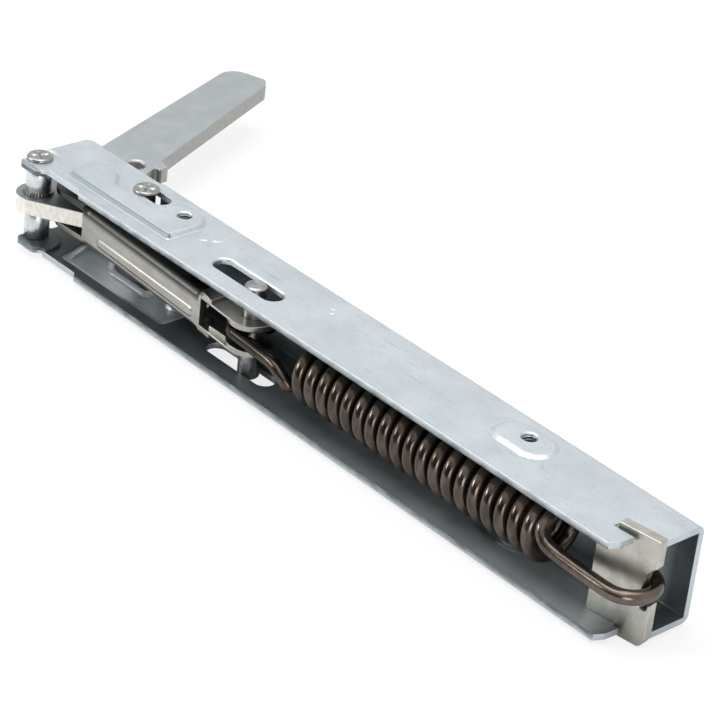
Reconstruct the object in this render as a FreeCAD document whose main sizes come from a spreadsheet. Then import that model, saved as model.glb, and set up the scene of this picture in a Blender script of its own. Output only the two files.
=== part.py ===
import FreeCAD, Part
import math
import os

import Sketcher
from FreeCAD import Placement, Rotation, Vector

# Oven door hinge: a folded steel case with a pivoting arm, a traction link,
# a sliding pin and a tension spring hooked on an anchor plate.
# Frame: X runs along the case from the pivot to the spring, Y from the open
# side of the case towards its web, Z up. The origin is on the pivot axis,
# halfway between the two flanges, and the case is symmetric about z = 0.

SIZES = [
    ("case_height", 22.8, "outside height over the two flanges"),
    ("case_depth", 21.2, "from the free edges of the flanges to the web"),
    ("sheet", 1.5, "sheet thickness of the case"),
    ("bend_radius", 0.4, "inside radius of the case's two bends"),
    ("case_start", -1.8, "x of the pivot end of the flanges"),
    ("case_end", 196.5, "x of the spring end of the case"),
    ("pivot_setback", 4.0, "from the free edges to the pivot axis"),
    ("corner_radius", 1.8, "far corners of the flanges at the pivot end"),
    ("window_end", 26.0, "the web is cut away up to this x"),
    ("window_corner", 0.6, "corner radius of the web's end at the window"),
    ("ear_step", 19.2, "the flanges' near edge steps back up to this x"),
    ("ear_relief", 1.1, "how far that stretch is set back"),
    ("ear_bulge", 0.7, "how far the ears stand out past the near edge"),
    ("joggle_x", 0.8, "centre of the joggled ear"),
    ("joggle_y", -2.0, "centre of the joggled ear"),
    ("joggle_radius", 6.2, "radius of the joggled ear"),
    ("joggle_depth", 0.7, "how far the ear is set inward"),
    ("joggle_lap", 0.8, "wall kept beside the joggle's step"),
    ("pad_height", 1.0, "height of the embossed mounting pads"),
    ("pad_slant", 40.0, "lean of the long pad's walls, degrees"),
    ("boss_slant", 58.0, "lean of the oval boss's walls, degrees"),
    ("joggle_slant", 45.0, "lean of the joggle's step, degrees"),
    ("pad_wall", 0.9, "wall kept beside the recess behind the long pad"),
    ("boss_wall", 1.2, "wall kept beside the recess behind the boss"),
    ("pad_start", 11.5, "near left corner of the long pad"),
    ("pad_end", 48.8, "right side of the long pad"),
    ("pad_near", -0.4, "near side of the long pad"),
    ("pad_far", 9.6, "far side of the long pad's left part"),
    ("pad_waist", 5.8, "the long pad's far side beside the slot"),
    ("pad_head", 13.3, "far side of the long pad's screw end"),
    ("boss_x", 155.2, "centre of the oval boss"),
    ("boss_y", 8.2, "centre of the oval boss"),
    ("boss_length", 15.6, "length of the oval boss"),
    ("boss_width", 10.2, "width of the oval boss"),
    ("screw_x", 42.7, "threaded hole in the long pad"),
    ("screw_y", 9.2, "threaded holes, from the pivot axis"),
    ("screw_radius", 1.65, "tapping hole for an M4 thread"),
    ("screw_mouth", 2.0, "mouth radius of the threaded holes"),
    ("screw_slant", 45.0, "lean of the threaded holes' countersinks, degrees"),
    ("collar_radius", 2.7, "drawn collar behind a threaded hole"),
    ("collar_height", 1.0, "height of the drawn collar"),
    ("slot_play", 0.1, "side play of a pin in its slot"),
    ("pin_slot_left", 2.3, "from the floating pin to its slot's left end"),
    ("pin_slot_right", 7.8, "from the floating pin to its slot's right end"),
    ("pin_slot_y", 10.5, "centre line of that slot"),
    ("link_slot_left", 13.5, "from the traction pin to its slot's left end"),
    ("link_slot_right", 8.1, "from the traction pin to its slot's right end"),
    ("link_slot_y", 3.6, "centre line of the traction pin and spring"),
    ("notch_top", 9.7, "length of the anchor plate's notch, top flange"),
    ("notch_bottom", 6.3, "length of the same notch, bottom flange"),
    ("notch_near", 2.0, "near side of the notch"),
    ("notch_far", 6.2, "far side of the notch"),
    ("notch_play", 0.15, "room behind the anchor plate in the notch"),
    ("lip_setback", 4.5, "from the case's end to the flanges' near strips"),
    ("pivot_radius", 2.0, "pivot pin shank"),
    ("running_play", 0.05, "radial play of a pin in its hole"),
    ("face_play", 0.05, "axial play between faces that slide"),
    ("spacer_radius", 3.0, "spacer tubes on the pivot pin"),
    ("head_radius", 3.1, "staked head of a pin"),
    ("head_height", 0.9, "height of a staked head"),
    ("slot_pin_radius", 2.2, "shank of the floating pin"),
    ("slot_pin_x", 27.0, "floating pin at rest"),
    ("slot_head_radius", 3.1, "heads of the floating pin"),
    ("slot_head_height", 0.8, "heads of the floating pin"),
    ("traction_radius", 2.5, "traction pin"),
    ("traction_x", 75.2, "traction pin at rest"),
    ("pin_chamfer", 0.4, "chamfer on the traction pin's ends"),
    ("arm_thickness", 4.0, "thickness of the arm plate"),
    ("eye_radius", 5.25, "round end of the arm about the pivot"),
    ("nose_radius", 2.5, "rounded corner of the arm inside the case"),
    ("heel_x", 2.78, "near corner of the arm beside the eye"),
    ("heel_y", -4.45, "near corner of the arm beside the eye"),
    ("nose_x", 15.55, "corner of the arm inside the case"),
    ("nose_y", 3.53, "corner of the arm inside the case"),
    ("root_x", 3.6, "right edge of the arm where it leaves the case"),
    ("root_y", 31.4, "foot of the tooth at the arm's root"),
    ("tooth_reach", 2.7, "how far the tooth stands out"),
    ("arm_length", 88.75, "from the pivot to the arm's tip, across the case"),
    ("tip_x", -23.9, "right end of the arm's tip"),
    ("tip_slant", 3.0, "cut corner of the tip"),
    ("tip_width", 10.4, "width of the tip along X"),
    ("lock_x", -0.45, "hole for the locking pin"),
    ("lock_y", 28.9, "hole for the locking pin"),
    ("lock_radius", 2.2, "hole for the locking pin"),
    ("lock_chamfer", 0.5, "chamfer round the locking hole"),
    ("link_x", 6.9, "link pin, from the pivot axis"),
    ("link_y", 6.9, "link pin, from the pivot axis"),
    ("link_radius", 2.0, "link pin shank"),
    ("link_play_x", 0.43, "offset of the clearance hole in the arm"),
    ("link_play_y", 0.6, "offset of the clearance hole in the arm"),
    ("link_play", 1.65, "radial clearance round the link pin in the arm"),
    ("link_height", 9.5, "outside height of the folded link"),
    ("link_sheet", 1.4, "sheet thickness of the link"),
    ("link_ear", 5.5, "round end of the link's ears at the arm"),
    ("link_eye", 5.7, "round end of the link at the traction pin"),
    ("link_back", 4.4, "far edge of the link's ears between its ends"),
    ("link_joggle", 0.9, "ears set inward at the traction pin"),
    ("web_start", 15.5, "left end of the link's web"),
    ("web_end", 62.7, "right end of the link's web"),
    ("web_drop", 2.6, "how far the web leans to the near side along it"),
    ("rib_start", 22.0, "left end of the link's rib"),
    ("rib_end", 60.0, "right end of the link's rib"),
    ("rib_height", 0.5, "how far the rib stands out"),
    ("rib_width", 2.3, "width of the rib"),
    ("rib_level", -1.6, "height of the rib's centre line"),
    ("rib_slant", 45.0, "lean of the rib's sides, degrees"),
    ("wire_radius", 1.575, "spring wire"),
    ("coil_radius", 5.65, "mean radius of the coils"),
    ("coil_start", 95.0, "left end of the coils"),
    ("coil_setback", 26.5, "from the case's end to the right end of the coils"),
    ("coil_turns", 19, "number of coils"),
    ("coil_groove", 1.35, "depth of the grooves between the coils"),
    ("hook_offset", 0.2, "the hooks leave the coils this far inside them"),
    ("hook_radius", 4.15, "mean radius of the hook round the pin"),
    ("tail_radius", 4.7, "mean radius of the hook round the plate"),
    ("tail_setback", 3.2, "from the case's end to the hook round the plate"),
    ("anchor_setback", 6.5, "from the case's end to the plate's reference point"),
    ("anchor_y", 2.5, "front face of the plate at that point"),
    ("anchor_angle", 7.7, "the plate's slant in plan, degrees"),
    ("anchor_sheet", 2.5, "thickness of the anchor plate"),
    ("anchor_left", -7.0, "left edge of the plate along itself"),
    ("anchor_right", 7.5, "right edge of the plate along itself"),
    ("tab_rise", 1.0, "how far the plate's tabs pass the flanges"),
]

doc = FreeCAD.newDocument("oven_door_hinge")
sizes = doc.addObject("Spreadsheet::Sheet", "Sizes")
for row, (alias, number, note) in enumerate(SIZES, start=1):
    sizes.set("A%d" % row, alias)
    sizes.set("B%d" % row, str(number))
    sizes.setAlias("B%d" % row, alias)
    sizes.set("C%d" % row, note)
doc.recompute()


def value(formula):
    """Number that a formula of sheet aliases gives, in millimetres."""
    result = sizes.evalExpression(str(formula))
    return float(getattr(result, "Value", result))


def linked(formula):
    """The same formula, with each alias named through the sheet."""
    text = str(formula)
    for alias in sorted((entry[0] for entry in SIZES), key=len, reverse=True):
        text = text.replace(alias, "@%d@" % ALIAS_INDEX[alias])
    for alias, index in ALIAS_INDEX.items():
        text = text.replace("@%d@" % index, "Sizes." + alias)
    return text


ALIAS_INDEX = {entry[0]: index for index, entry in enumerate(SIZES)}


def new_body(label):
    """Empty body with the given label."""
    body = doc.addObject("PartDesign::Body", label)
    body.Label = label
    return body


def plane_of(body, role):
    """The body's own origin plane with the given role."""
    for feature in body.Origin.OriginFeatures:
        if feature.Role == role:
            return feature
    raise ValueError(role)


def new_sketch(body, name, role="XY_Plane", height=None):
    """Sketch on one of the body's origin planes, lifted by a formula."""
    sketch = body.newObject("Sketcher::SketchObject", name)
    sketch.AttachmentSupport = (plane_of(body, role), [""])
    sketch.MapMode = "FlatFace"
    if height is not None:
        sketch.setExpression("AttachmentOffset.Base.z", linked(height))
    return sketch


def bind(sketch, kind, ends, formula):
    """Dimension constraint whose value is a formula of the sheet."""
    index = sketch.addConstraint(Sketcher.Constraint(kind, *ends, value(formula)))
    sketch.setExpression("Constraints[%d]" % index, linked(formula))


def draw_polygon(sketch, corners):
    """Closed outline of straight sides with optional rounded corners.

    Each corner is (x, y) or (x, y, radius), all formulas of the sheet.
    """
    points = [Vector(value(c[0]), value(c[1]), 0) for c in corners]
    radii = [value(c[2]) if len(c) > 2 else 0.0 for c in corners]
    count = len(points)
    starts = []
    ends = []
    for index, point in enumerate(points):
        before = (points[index - 1] - point).normalize()
        after = (points[(index + 1) % count] - point).normalize()
        if radii[index]:
            half = before.getAngle(after) / 2
            reach = radii[index] / math.tan(half)
            ends.append(point + before * reach)
            starts.append(point + after * reach)
        else:
            ends.append(point)
            starts.append(point)
    lines = []
    for index in range(count):
        following = (index + 1) % count
        segment = Part.LineSegment(starts[index], ends[following])
        lines.append(sketch.addGeometry(segment, False))
    for index, corner in enumerate(corners):
        incoming = lines[index - 1]
        outgoing = lines[index]
        if not radii[index]:
            sketch.addConstraint(Sketcher.Constraint("Coincident", incoming, 2, outgoing, 1))
            bind(sketch, "DistanceX", (-1, 1, outgoing, 1), corner[0])
            bind(sketch, "DistanceY", (-1, 1, outgoing, 1), corner[1])
            continue
        arc, first, second = corner_arc(points[index], ends[index], starts[index], radii[index])
        rounded = sketch.addGeometry(arc, False)
        mark = sketch.addGeometry(Part.Point(points[index]), True)
        sketch.addConstraint([
            Sketcher.Constraint("PointOnObject", mark, 1, incoming),
            Sketcher.Constraint("PointOnObject", mark, 1, outgoing),
            Sketcher.Constraint("Tangent", incoming, 2, rounded, first),
            Sketcher.Constraint("Tangent", outgoing, 1, rounded, second),
        ])
        bind(sketch, "DistanceX", (-1, 1, mark, 1), corner[0])
        bind(sketch, "DistanceY", (-1, 1, mark, 1), corner[1])
        bind(sketch, "Radius", (rounded,), corner[2])
    return sketch


def corner_arc(corner, entry, exit_point, radius):
    """Arc that rounds a corner, and which of its ends meets which side."""
    middle = (entry + exit_point) * 0.5
    inward = (middle - corner).normalize()
    distance = (entry - corner).Length
    centre = corner + inward * (distance ** 2 + radius ** 2) ** 0.5
    turn = (entry - centre).cross(exit_point - centre).z
    circle = Part.Circle(centre, Vector(0, 0, 1), radius)
    if turn > 0:
        arc = Part.ArcOfCircle(circle, circle.parameter(entry), circle.parameter(exit_point))
        return arc, 1, 2
    arc = Part.ArcOfCircle(circle, circle.parameter(exit_point), circle.parameter(entry))
    return arc, 2, 1


def draw_circle(sketch, x, y, radius):
    """Circle with its centre and radius bound to the sheet."""
    centre = Vector(value(x), value(y), 0)
    circle = sketch.addGeometry(Part.Circle(centre, Vector(0, 0, 1), value(radius)), False)
    bind(sketch, "DistanceX", (-1, 1, circle, 3), x)
    bind(sketch, "DistanceY", (-1, 1, circle, 3), y)
    bind(sketch, "Radius", (circle,), radius)
    return sketch


def draw_slot(sketch, start, end, y, radius):
    """Slot along X between two end points, with round ends."""
    low = "(%s) - (%s)" % (y, radius)
    high = "(%s) + (%s)" % (y, radius)
    corners = [
        (start, low, "(%s) * 0.999" % radius),
        (end, low, "(%s) * 0.999" % radius),
        (end, high, "(%s) * 0.999" % radius),
        (start, high, "(%s) * 0.999" % radius),
    ]
    return draw_polygon(sketch, corners)


def add_pad(body, sketch, name, length, both_ways=False, reverse=False, slant=None):
    """Pad of a sketch by a formula, with walls that may lean inward."""
    pad = body.newObject("PartDesign::Pad", name)
    pad.Profile = sketch
    pad.setExpression("Length", linked(length))
    pad.Midplane = both_ways
    pad.Reversed = reverse
    if slant is not None:
        pad.setExpression("TaperAngle", linked("-" + slant))
    doc.recompute()
    return pad


def add_pocket(body, sketch, name, length=None, both_ways=False, reverse=False, slant=None):
    """Pocket of a sketch by a formula, or through all; it has to cut."""
    before = body.Shape.Volume
    pocket = body.newObject("PartDesign::Pocket", name)
    pocket.Profile = sketch
    if length is None:
        pocket.Type = "ThroughAll"
    else:
        pocket.setExpression("Length", linked(length))
    pocket.Midplane = both_ways
    pocket.Reversed = reverse
    if slant is not None:
        pocket.setExpression("TaperAngle", linked("-" + slant))
    doc.recompute()
    if body.Shape.Volume > before - 1e-3:
        raise RuntimeError(name + " cuts nothing")
    return pocket


def add_mirror(body, features, name):
    """Mirror features to the other flange and make that the body's tip."""
    mirror = body.newObject("PartDesign::Mirrored", name)
    mirror.Originals = features
    mirror.MirrorPlane = (plane_of(body, "XY_Plane"), [""])
    body.Tip = mirror
    doc.recompute()
    return mirror


OUTER = "case_height / 2"
INNER = "(case_height / 2 - sheet)"
NEAR = "-pivot_setback"
WEB = "(case_depth - pivot_setback)"
LIP = "(case_end - lip_setback)"
ANCHOR_X = "(case_end - anchor_setback)"
COIL_END = "(case_end - coil_setback)"
COIL_PITCH = "((case_end - coil_setback - coil_start) / coil_turns)"
COIL_SIDES = 16
WIRE_SIDES = 6


def build_case():
    """Folded case: C section, window, slots, pads, joggled ears, notches."""
    body = new_body("case")
    section = new_sketch(body, "case_section", "YZ_Plane", "case_start")
    outside = "bend_radius + sheet"
    draw_polygon(section, [
        (NEAR, "-" + OUTER),
        (WEB, "-" + OUTER, outside),
        (WEB, OUTER, outside),
        (NEAR, OUTER),
        (NEAR, INNER),
        (WEB + " - sheet", INNER, "bend_radius"),
        (WEB + " - sheet", "-" + INNER, "bend_radius"),
        (NEAR, "-" + INNER),
    ])
    add_pad(body, section, "case_profile", "case_end - case_start")

    ear = draw_circle(new_sketch(body, "ear_step", height=OUTER),
                      "joggle_x", "joggle_y", "joggle_radius")
    lowered = add_pocket(body, ear, "ear_joggle_outside", "joggle_depth", slant="joggle_slant")
    back = draw_circle(new_sketch(body, "ear_back", height=OUTER + " - joggle_depth"),
                       "joggle_x", "joggle_y", "joggle_radius + joggle_lap")
    raised = add_pad(body, back, "ear_joggle_inside", "sheet", reverse=True)

    pad = draw_polygon(new_sketch(body, "pad_outline", height=OUTER), pad_corners("0"))
    embossed = add_pad(body, pad, "long_pad", "pad_height", slant="pad_slant")
    behind = draw_polygon(new_sketch(body, "pad_recess", height=INNER), pad_corners("pad_wall"))
    recess = add_pocket(body, behind, "long_pad_recess", "pad_height", reverse=True)

    oval = draw_slot(new_sketch(body, "boss_outline", height=OUTER),
                     "boss_x - boss_length / 2", "boss_x + boss_length / 2",
                     "boss_y", "boss_width / 2")
    boss = add_pad(body, oval, "oval_boss", "pad_height", slant="boss_slant")
    hollow = draw_slot(new_sketch(body, "boss_recess", height=INNER),
                       "boss_x - boss_length / 2 + boss_wall",
                       "boss_x + boss_length / 2 - boss_wall",
                       "boss_y", "boss_width / 2 - boss_wall")
    boss_recess = add_pocket(body, hollow, "oval_boss_recess", "pad_height", reverse=True)

    collars = new_sketch(body, "collar_outlines", height=INNER + " + pad_height")
    draw_circle(collars, "screw_x", "screw_y", "collar_radius")
    draw_circle(collars, "boss_x", "screw_y", "collar_radius")
    drawn = add_pad(body, collars, "screw_collars", "pad_height + collar_height", reverse=True)
    mouths = new_sketch(body, "screw_mouths", height=OUTER + " + pad_height")
    draw_circle(mouths, "screw_x", "screw_y", "screw_mouth")
    draw_circle(mouths, "boss_x", "screw_y", "screw_mouth")
    sunk = add_pocket(body, mouths, "screw_countersinks",
                      "(screw_mouth - screw_radius) / tan(screw_slant)", slant="screw_slant")
    add_mirror(body, [lowered, raised, embossed, recess, boss, boss_recess, drawn, sunk],
               "both_flanges")

    holes = new_sketch(body, "round_holes")
    draw_circle(holes, "0", "0", "pivot_radius + running_play")
    draw_circle(holes, "screw_x", "screw_y", "screw_radius")
    draw_circle(holes, "boss_x", "screw_y", "screw_radius")
    add_pocket(body, holes, "pivot_and_screw_holes", both_ways=True)

    slots = new_sketch(body, "slot_outlines")
    draw_slot(slots, "slot_pin_x - pin_slot_left", "slot_pin_x + pin_slot_right", "pin_slot_y",
              "slot_pin_radius + slot_play")
    draw_slot(slots, "traction_x - link_slot_left", "traction_x + link_slot_right",
              "link_slot_y", "traction_radius + slot_play")
    add_pocket(body, slots, "pin_slots", both_ways=True)

    flank = WEB + " - sheet - bend_radius / 2"
    end = draw_polygon(new_sketch(body, "pivot_end"), [
        ("case_start - 8", NEAR + " - 10"),
        ("ear_step + 1.2", NEAR + " - 10"),
        ("ear_step + 1.2", NEAR),
        ("ear_step", NEAR + " + ear_relief", "0.5"),
        ("joggle_x + 5.6", NEAR + " + ear_relief", "0.8"),
        ("joggle_x + 4.1", NEAR + " - ear_bulge", "1.2"),
        ("case_start", NEAR + " - ear_bulge", "1.4"),
        ("case_start", flank, "corner_radius"),
        ("window_end", flank, "window_corner"),
        ("window_end", WEB + " + 10"),
        ("case_start - 8", WEB + " + 10"),
    ])
    add_pocket(body, end, "pivot_end_outline", both_ways=True)

    top = draw_polygon(new_sketch(body, "top_notch"), notch_corners("(case_end - notch_top)"))
    add_pocket(body, top, "top_tab_notch", reverse=True)
    bottom = draw_polygon(new_sketch(body, "bottom_notch"),
                          notch_corners("(case_end - notch_bottom)"))
    add_pocket(body, bottom, "bottom_tab_notch")
    return body


def pad_corners(inset):
    """Outline of the long pad, drawn in by an inset."""
    return [
        ("pad_start + %s" % inset, "pad_near + %s" % inset, "0.9"),
        ("pad_end - %s" % inset, "pad_near + %s" % inset, "0.9"),
        ("pad_end - %s" % inset, "pad_head - %s" % inset, "5.2 - %s" % inset),
        ("screw_x - 5.8 + %s" % inset, "pad_head - %s" % inset, "4.4 - %s" % inset),
        ("screw_x - 7 + %s" % inset, "pad_waist - %s" % inset, "2.2 + %s / 2" % inset),
        ("pad_start + 11 - %s" % inset, "pad_waist - %s" % inset, "4 + %s" % inset),
        ("pad_start + 6.5 - %s" % inset, "pad_far - %s" % inset, "3 - %s" % inset),
        ("pad_start - 3.4 + %s" % inset, "pad_far - %s" % inset, "2.4 - %s" % inset),
        ("pad_start - 1.2 + %s" % inset, "pad_near + 3.6", "3"),
    ]


def notch_corners(start):
    """Notch for a tab of the anchor plate, open towards the end."""
    back = ("anchor_y + anchor_sheet / cos(anchor_angle) + notch_play"
            " + (%s - %s) * tan(anchor_angle)" % (start, ANCHOR_X))
    return [
        (start, "notch_near - 0.5", "0.4"),
        (LIP, "notch_near - 0.1"),
        (LIP + " - 0.2", NEAR + " + 2.4", "1.2"),
        (LIP + " - 1.8", NEAR + " - 1"),
        ("case_end + 5", NEAR + " - 1"),
        ("case_end + 5", "notch_far + 0.6"),
        (start + " + 4", "notch_far", "1"),
        (start, back),
    ]


def build_arm():
    """Flat arm: eye, blade with a cut tip, toothed root and its holes."""
    body = new_body("arm")
    outline = draw_polygon(new_sketch(body, "arm_outline"), [
        ("heel_x", "heel_y"),
        ("nose_x", "nose_y", "nose_radius"),
        ("root_x - 0.1", "root_y", "0.5"),
        ("root_x", "root_y + 0.8", "0.35"),
        ("root_x + 1.5", "root_y + 0.7"),
        ("root_x + tooth_reach", "root_y - 0.2", "0.25"),
        ("root_x + 0.85", "root_y + 2", "1.5"),
        ("root_x + 0.95", "root_y + 3.6", "0.5"),
        ("root_x - 2.6", "root_y + 4.35"),
        ("tip_x + tip_slant", "arm_length - 2.45", "0.8"),
        ("tip_x", "arm_length", "1.5"),
        ("tip_x - tip_width", "arm_length - 3.55", "4.5"),
        ("-1.84", "-0.7"),
    ])
    add_pad(body, outline, "arm_blade", "arm_thickness", both_ways=True)
    eye = draw_circle(new_sketch(body, "eye_outline"), "0", "0", "eye_radius")
    add_pad(body, eye, "arm_eye", "arm_thickness", both_ways=True)
    holes = new_sketch(body, "arm_holes")
    draw_circle(holes, "0", "0", "pivot_radius + running_play")
    draw_circle(holes, "link_x + link_play_x", "link_y + link_play_y", "link_radius + link_play")
    draw_circle(holes, "lock_x", "lock_y", "lock_radius")
    drilled = add_pocket(body, holes, "pivot_link_and_lock_holes", both_ways=True)
    rims = edges_at(drilled.Shape, lambda edge: (
        edge.Curve.TypeId == "Part::GeomCircle"
        and abs(edge.Curve.Radius - value("lock_radius")) < 1e-6
        and abs(edge.Curve.Center.y - value("lock_y")) < 1e-6))
    chamfer = body.newObject("PartDesign::Chamfer", "lock_hole_chamfer")
    chamfer.Base = (drilled, rims)
    chamfer.setExpression("Size", linked("lock_chamfer"))
    doc.recompute()
    return body


def edges_at(shape, wanted):
    """Names of the shape's edges that a test accepts."""
    return ["Edge%d" % (index + 1) for index, edge in enumerate(shape.Edges) if wanted(edge)]


def build_link():
    """Folded link: two ears joined by a web on the near side, with a rib."""
    body = new_body("traction_link")
    outline = draw_polygon(new_sketch(body, "link_outline"), [
        ("link_x", "link_y - link_ear"),
        ("web_start", "link_y - link_ear"),
        ("web_end", "link_y - link_ear - web_drop"),
        ("traction_x", "link_slot_y - link_eye"),
        ("traction_x", "link_slot_y + link_eye"),
        ("traction_x - 8", "link_back", "6"),
        ("link_x + 11", "link_back", "6"),
        ("link_x", "link_y + link_ear"),
    ])
    add_pad(body, outline, "link_ears", "link_height", both_ways=True)
    eyes = new_sketch(body, "link_round_ends")
    draw_circle(eyes, "link_x", "link_y", "link_ear")
    draw_circle(eyes, "traction_x", "link_slot_y", "link_eye")
    add_pad(body, eyes, "link_ends", "link_height", both_ways=True)
    inside = draw_polygon(new_sketch(body, "link_inside"), [
        ("link_x - 9", "link_y - 12"),
        ("web_start", "link_y - 12"),
        ("web_start", "link_y - link_ear + link_sheet"),
        ("web_end", "link_y - link_ear - web_drop + link_sheet"),
        ("web_end", "link_slot_y - 12"),
        ("traction_x + 9", "link_slot_y - 12"),
        ("traction_x + 9", "link_y + 9"),
        ("link_x - 9", "link_y + 9"),
    ])
    add_pocket(body, inside, "link_hollow", "link_height - 2 * link_sheet", both_ways=True)

    top = "link_height / 2"
    step = draw_polygon(new_sketch(body, "link_step", height=top), joggle_corners("0"))
    lowered = add_pocket(body, step, "link_joggle_outside", "link_joggle")
    inner = draw_polygon(new_sketch(body, "link_step_back", height=top + " - link_sheet"),
                         joggle_inner())
    raised = add_pad(body, inner, "link_joggle_inside", "link_joggle", reverse=True)
    disc = draw_circle(new_sketch(body, "link_step_disc", height=top + " - link_sheet"),
                       "traction_x", "link_slot_y", "link_eye")
    round_end = add_pad(body, disc, "link_joggle_round", "link_joggle", reverse=True)
    add_mirror(body, [lowered, raised, round_end], "both_ears")

    rib = new_sketch(body, "rib_outline", "XZ_Plane")
    rib.AttachmentOffset = Placement(Vector(0, 0, 0), Rotation(Vector(0, 1, 0), 1))
    rib.setExpression("AttachmentOffset.Base.x", linked("web_start"))
    rib.setExpression("AttachmentOffset.Base.z", linked("link_ear - link_y"))
    rib.setExpression("AttachmentOffset.Rotation.Angle",
                      linked("atan(web_drop / (web_end - web_start))"))
    draw_slot(rib, "rib_start - web_start", "rib_end - web_start", "rib_level", "rib_width / 2")
    add_pad(body, rib, "link_rib", "rib_height", slant="rib_slant")

    holes = new_sketch(body, "link_holes")
    draw_circle(holes, "link_x", "link_y", "link_radius + running_play")
    draw_circle(holes, "traction_x", "link_slot_y", "traction_radius + running_play")
    add_pocket(body, holes, "link_pin_holes", both_ways=True)
    return body


def joggle_corners(inset):
    """Part of an ear that is set inward, seen from above."""
    return [
        ("traction_x - 8.5", "link_slot_y - 12"),
        ("traction_x + 12", "link_slot_y - 12"),
        ("traction_x + 12", "link_slot_y + 12"),
        ("traction_x - 8.5", "link_slot_y + 12"),
    ]


def joggle_inner():
    """Ear stock added inside the joggle, between the step and the eye."""
    return [
        ("traction_x - 9.9", "link_slot_y - 4"),
        ("traction_x", "link_slot_y - 4"),
        ("traction_x", "link_slot_y + 4"),
        ("traction_x - 9.9", "link_back"),
    ]


def build_pins():
    """Pivot pin, spacers, link pin, traction pin and floating pin."""
    ear_face = "(case_height / 2 - joggle_depth)"
    pivot = new_body("pivot_pin")
    shank = draw_circle(new_sketch(pivot, "pivot_shank"), "0", "0", "pivot_radius")
    add_pad(pivot, shank, "pivot_length", "2 * " + ear_face, both_ways=True)
    staked_heads(pivot, "pivot", "0", "0", "head_radius", "head_height", ear_face)

    spacer_top(new_body("upper_spacer"), "upper", False)
    spacer_top(new_body("lower_spacer"), "lower", True)

    link_pin = new_body("link_pin")
    shank = draw_circle(new_sketch(link_pin, "link_shank"), "link_x", "link_y", "link_radius")
    add_pad(link_pin, shank, "link_pin_length", "link_height", both_ways=True)
    staked_heads(link_pin, "link", "link_x", "link_y", "link_radius + 0.9", "0.8",
                 "(link_height / 2)", domed=False)

    floating = new_body("slot_pin")
    shank = draw_circle(new_sketch(floating, "slot_shank"), "slot_pin_x", "pin_slot_y",
                        "slot_pin_radius")
    reach = "(case_height / 2 + face_play)"
    add_pad(floating, shank, "slot_pin_length", "2 * " + reach, both_ways=True)
    staked_heads(floating, "slot", "slot_pin_x", "pin_slot_y", "slot_head_radius",
                 "slot_head_height", reach)

    traction = new_body("traction_pin")
    shank = draw_circle(new_sketch(traction, "traction_shank"), "traction_x", "link_slot_y",
                        "traction_radius")
    pad = add_pad(traction, shank, "traction_length", "case_height", both_ways=True)
    rims = edges_at(pad.Shape, lambda edge: edge.Curve.TypeId == "Part::GeomCircle")
    chamfer = traction.newObject("PartDesign::Chamfer", "traction_chamfers")
    chamfer.Base = (pad, rims)
    chamfer.setExpression("Size", linked("pin_chamfer"))
    doc.recompute()
    return [pivot, link_pin, floating, traction]


def staked_heads(body, name, x, y, radius, height, face, domed=True):
    """Low staked heads on both ends of a pin, their rims eased if domed."""
    disc = draw_circle(new_sketch(body, name + "_head", height=face), x, y, radius)
    head = add_pad(body, disc, name + "_head_top", height)
    mirror = add_mirror(body, [head], name + "_heads")
    if not domed:
        return
    level = value(face) + value(height)
    rims = edges_at(mirror.Shape, lambda edge: (
        edge.Curve.TypeId == "Part::GeomCircle" and abs(abs(edge.Curve.Center.z) - level) < 1e-6))
    dome = body.newObject("PartDesign::Chamfer", name + "_head_rims")
    dome.Base = (mirror, rims)
    dome.setExpression("Size", linked("(%s) / 3" % height))
    doc.recompute()


def spacer_top(body, name, lower):
    """Tube that keeps the arm midway between the ears."""
    ring = new_sketch(body, name + "_ring", height="arm_thickness / 2 + face_play")
    draw_circle(ring, "0", "0", "spacer_radius")
    draw_circle(ring, "0", "0", "pivot_radius + running_play / 2")
    length = "case_height / 2 - sheet - joggle_depth - arm_thickness / 2 - face_play"
    add_pad(body, ring, name + "_tube", length)
    if lower:
        body.Placement = Placement(Vector(0, 0, 0), Rotation(Vector(1, 0, 0), 180))


def build_anchor():
    """Plate that stands between the flanges and passes them with tabs."""
    body = new_body("anchor_plate")
    foot = "-" + INNER
    head = INNER
    top = "(case_height / 2 + tab_rise)"
    outline = draw_polygon(new_sketch(body, "anchor_outline", "XZ_Plane"), [
        ("anchor_left", foot),
        ("0.6", foot),
        ("0.6", "-" + top, "0.8"),
        ("anchor_right - 1.2", "-" + top, "1.2"),
        ("anchor_right", "-" + INNER + " - 0.6"),
        ("anchor_right", "-2.2"),
        ("anchor_right - 0.6", "-2.3", "0.3"),
        ("anchor_right - 0.9", "-3.9", "0.6"),
        ("anchor_right - 2.6", "-3.8", "0.8"),
        ("anchor_right - 2.7", "-1.4", "1"),
        ("anchor_right - 2.1", "3.6", "1.2"),
        ("anchor_right - 0.9", "5.4"),
        ("anchor_right", "6.2"),
        ("anchor_right", top),
        ("-2.6", top, "0.4"),
        ("-2.6", head),
        ("anchor_left", head),
    ])
    add_pad(body, outline, "anchor_plate_sheet", "anchor_sheet", reverse=True)
    body.setExpression("Placement.Base.x", linked(ANCHOR_X))
    body.setExpression("Placement.Base.y", linked("anchor_y"))
    body.Placement.Rotation = Rotation(Vector(0, 0, 1), value("anchor_angle"))
    doc.recompute()
    return body


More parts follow.
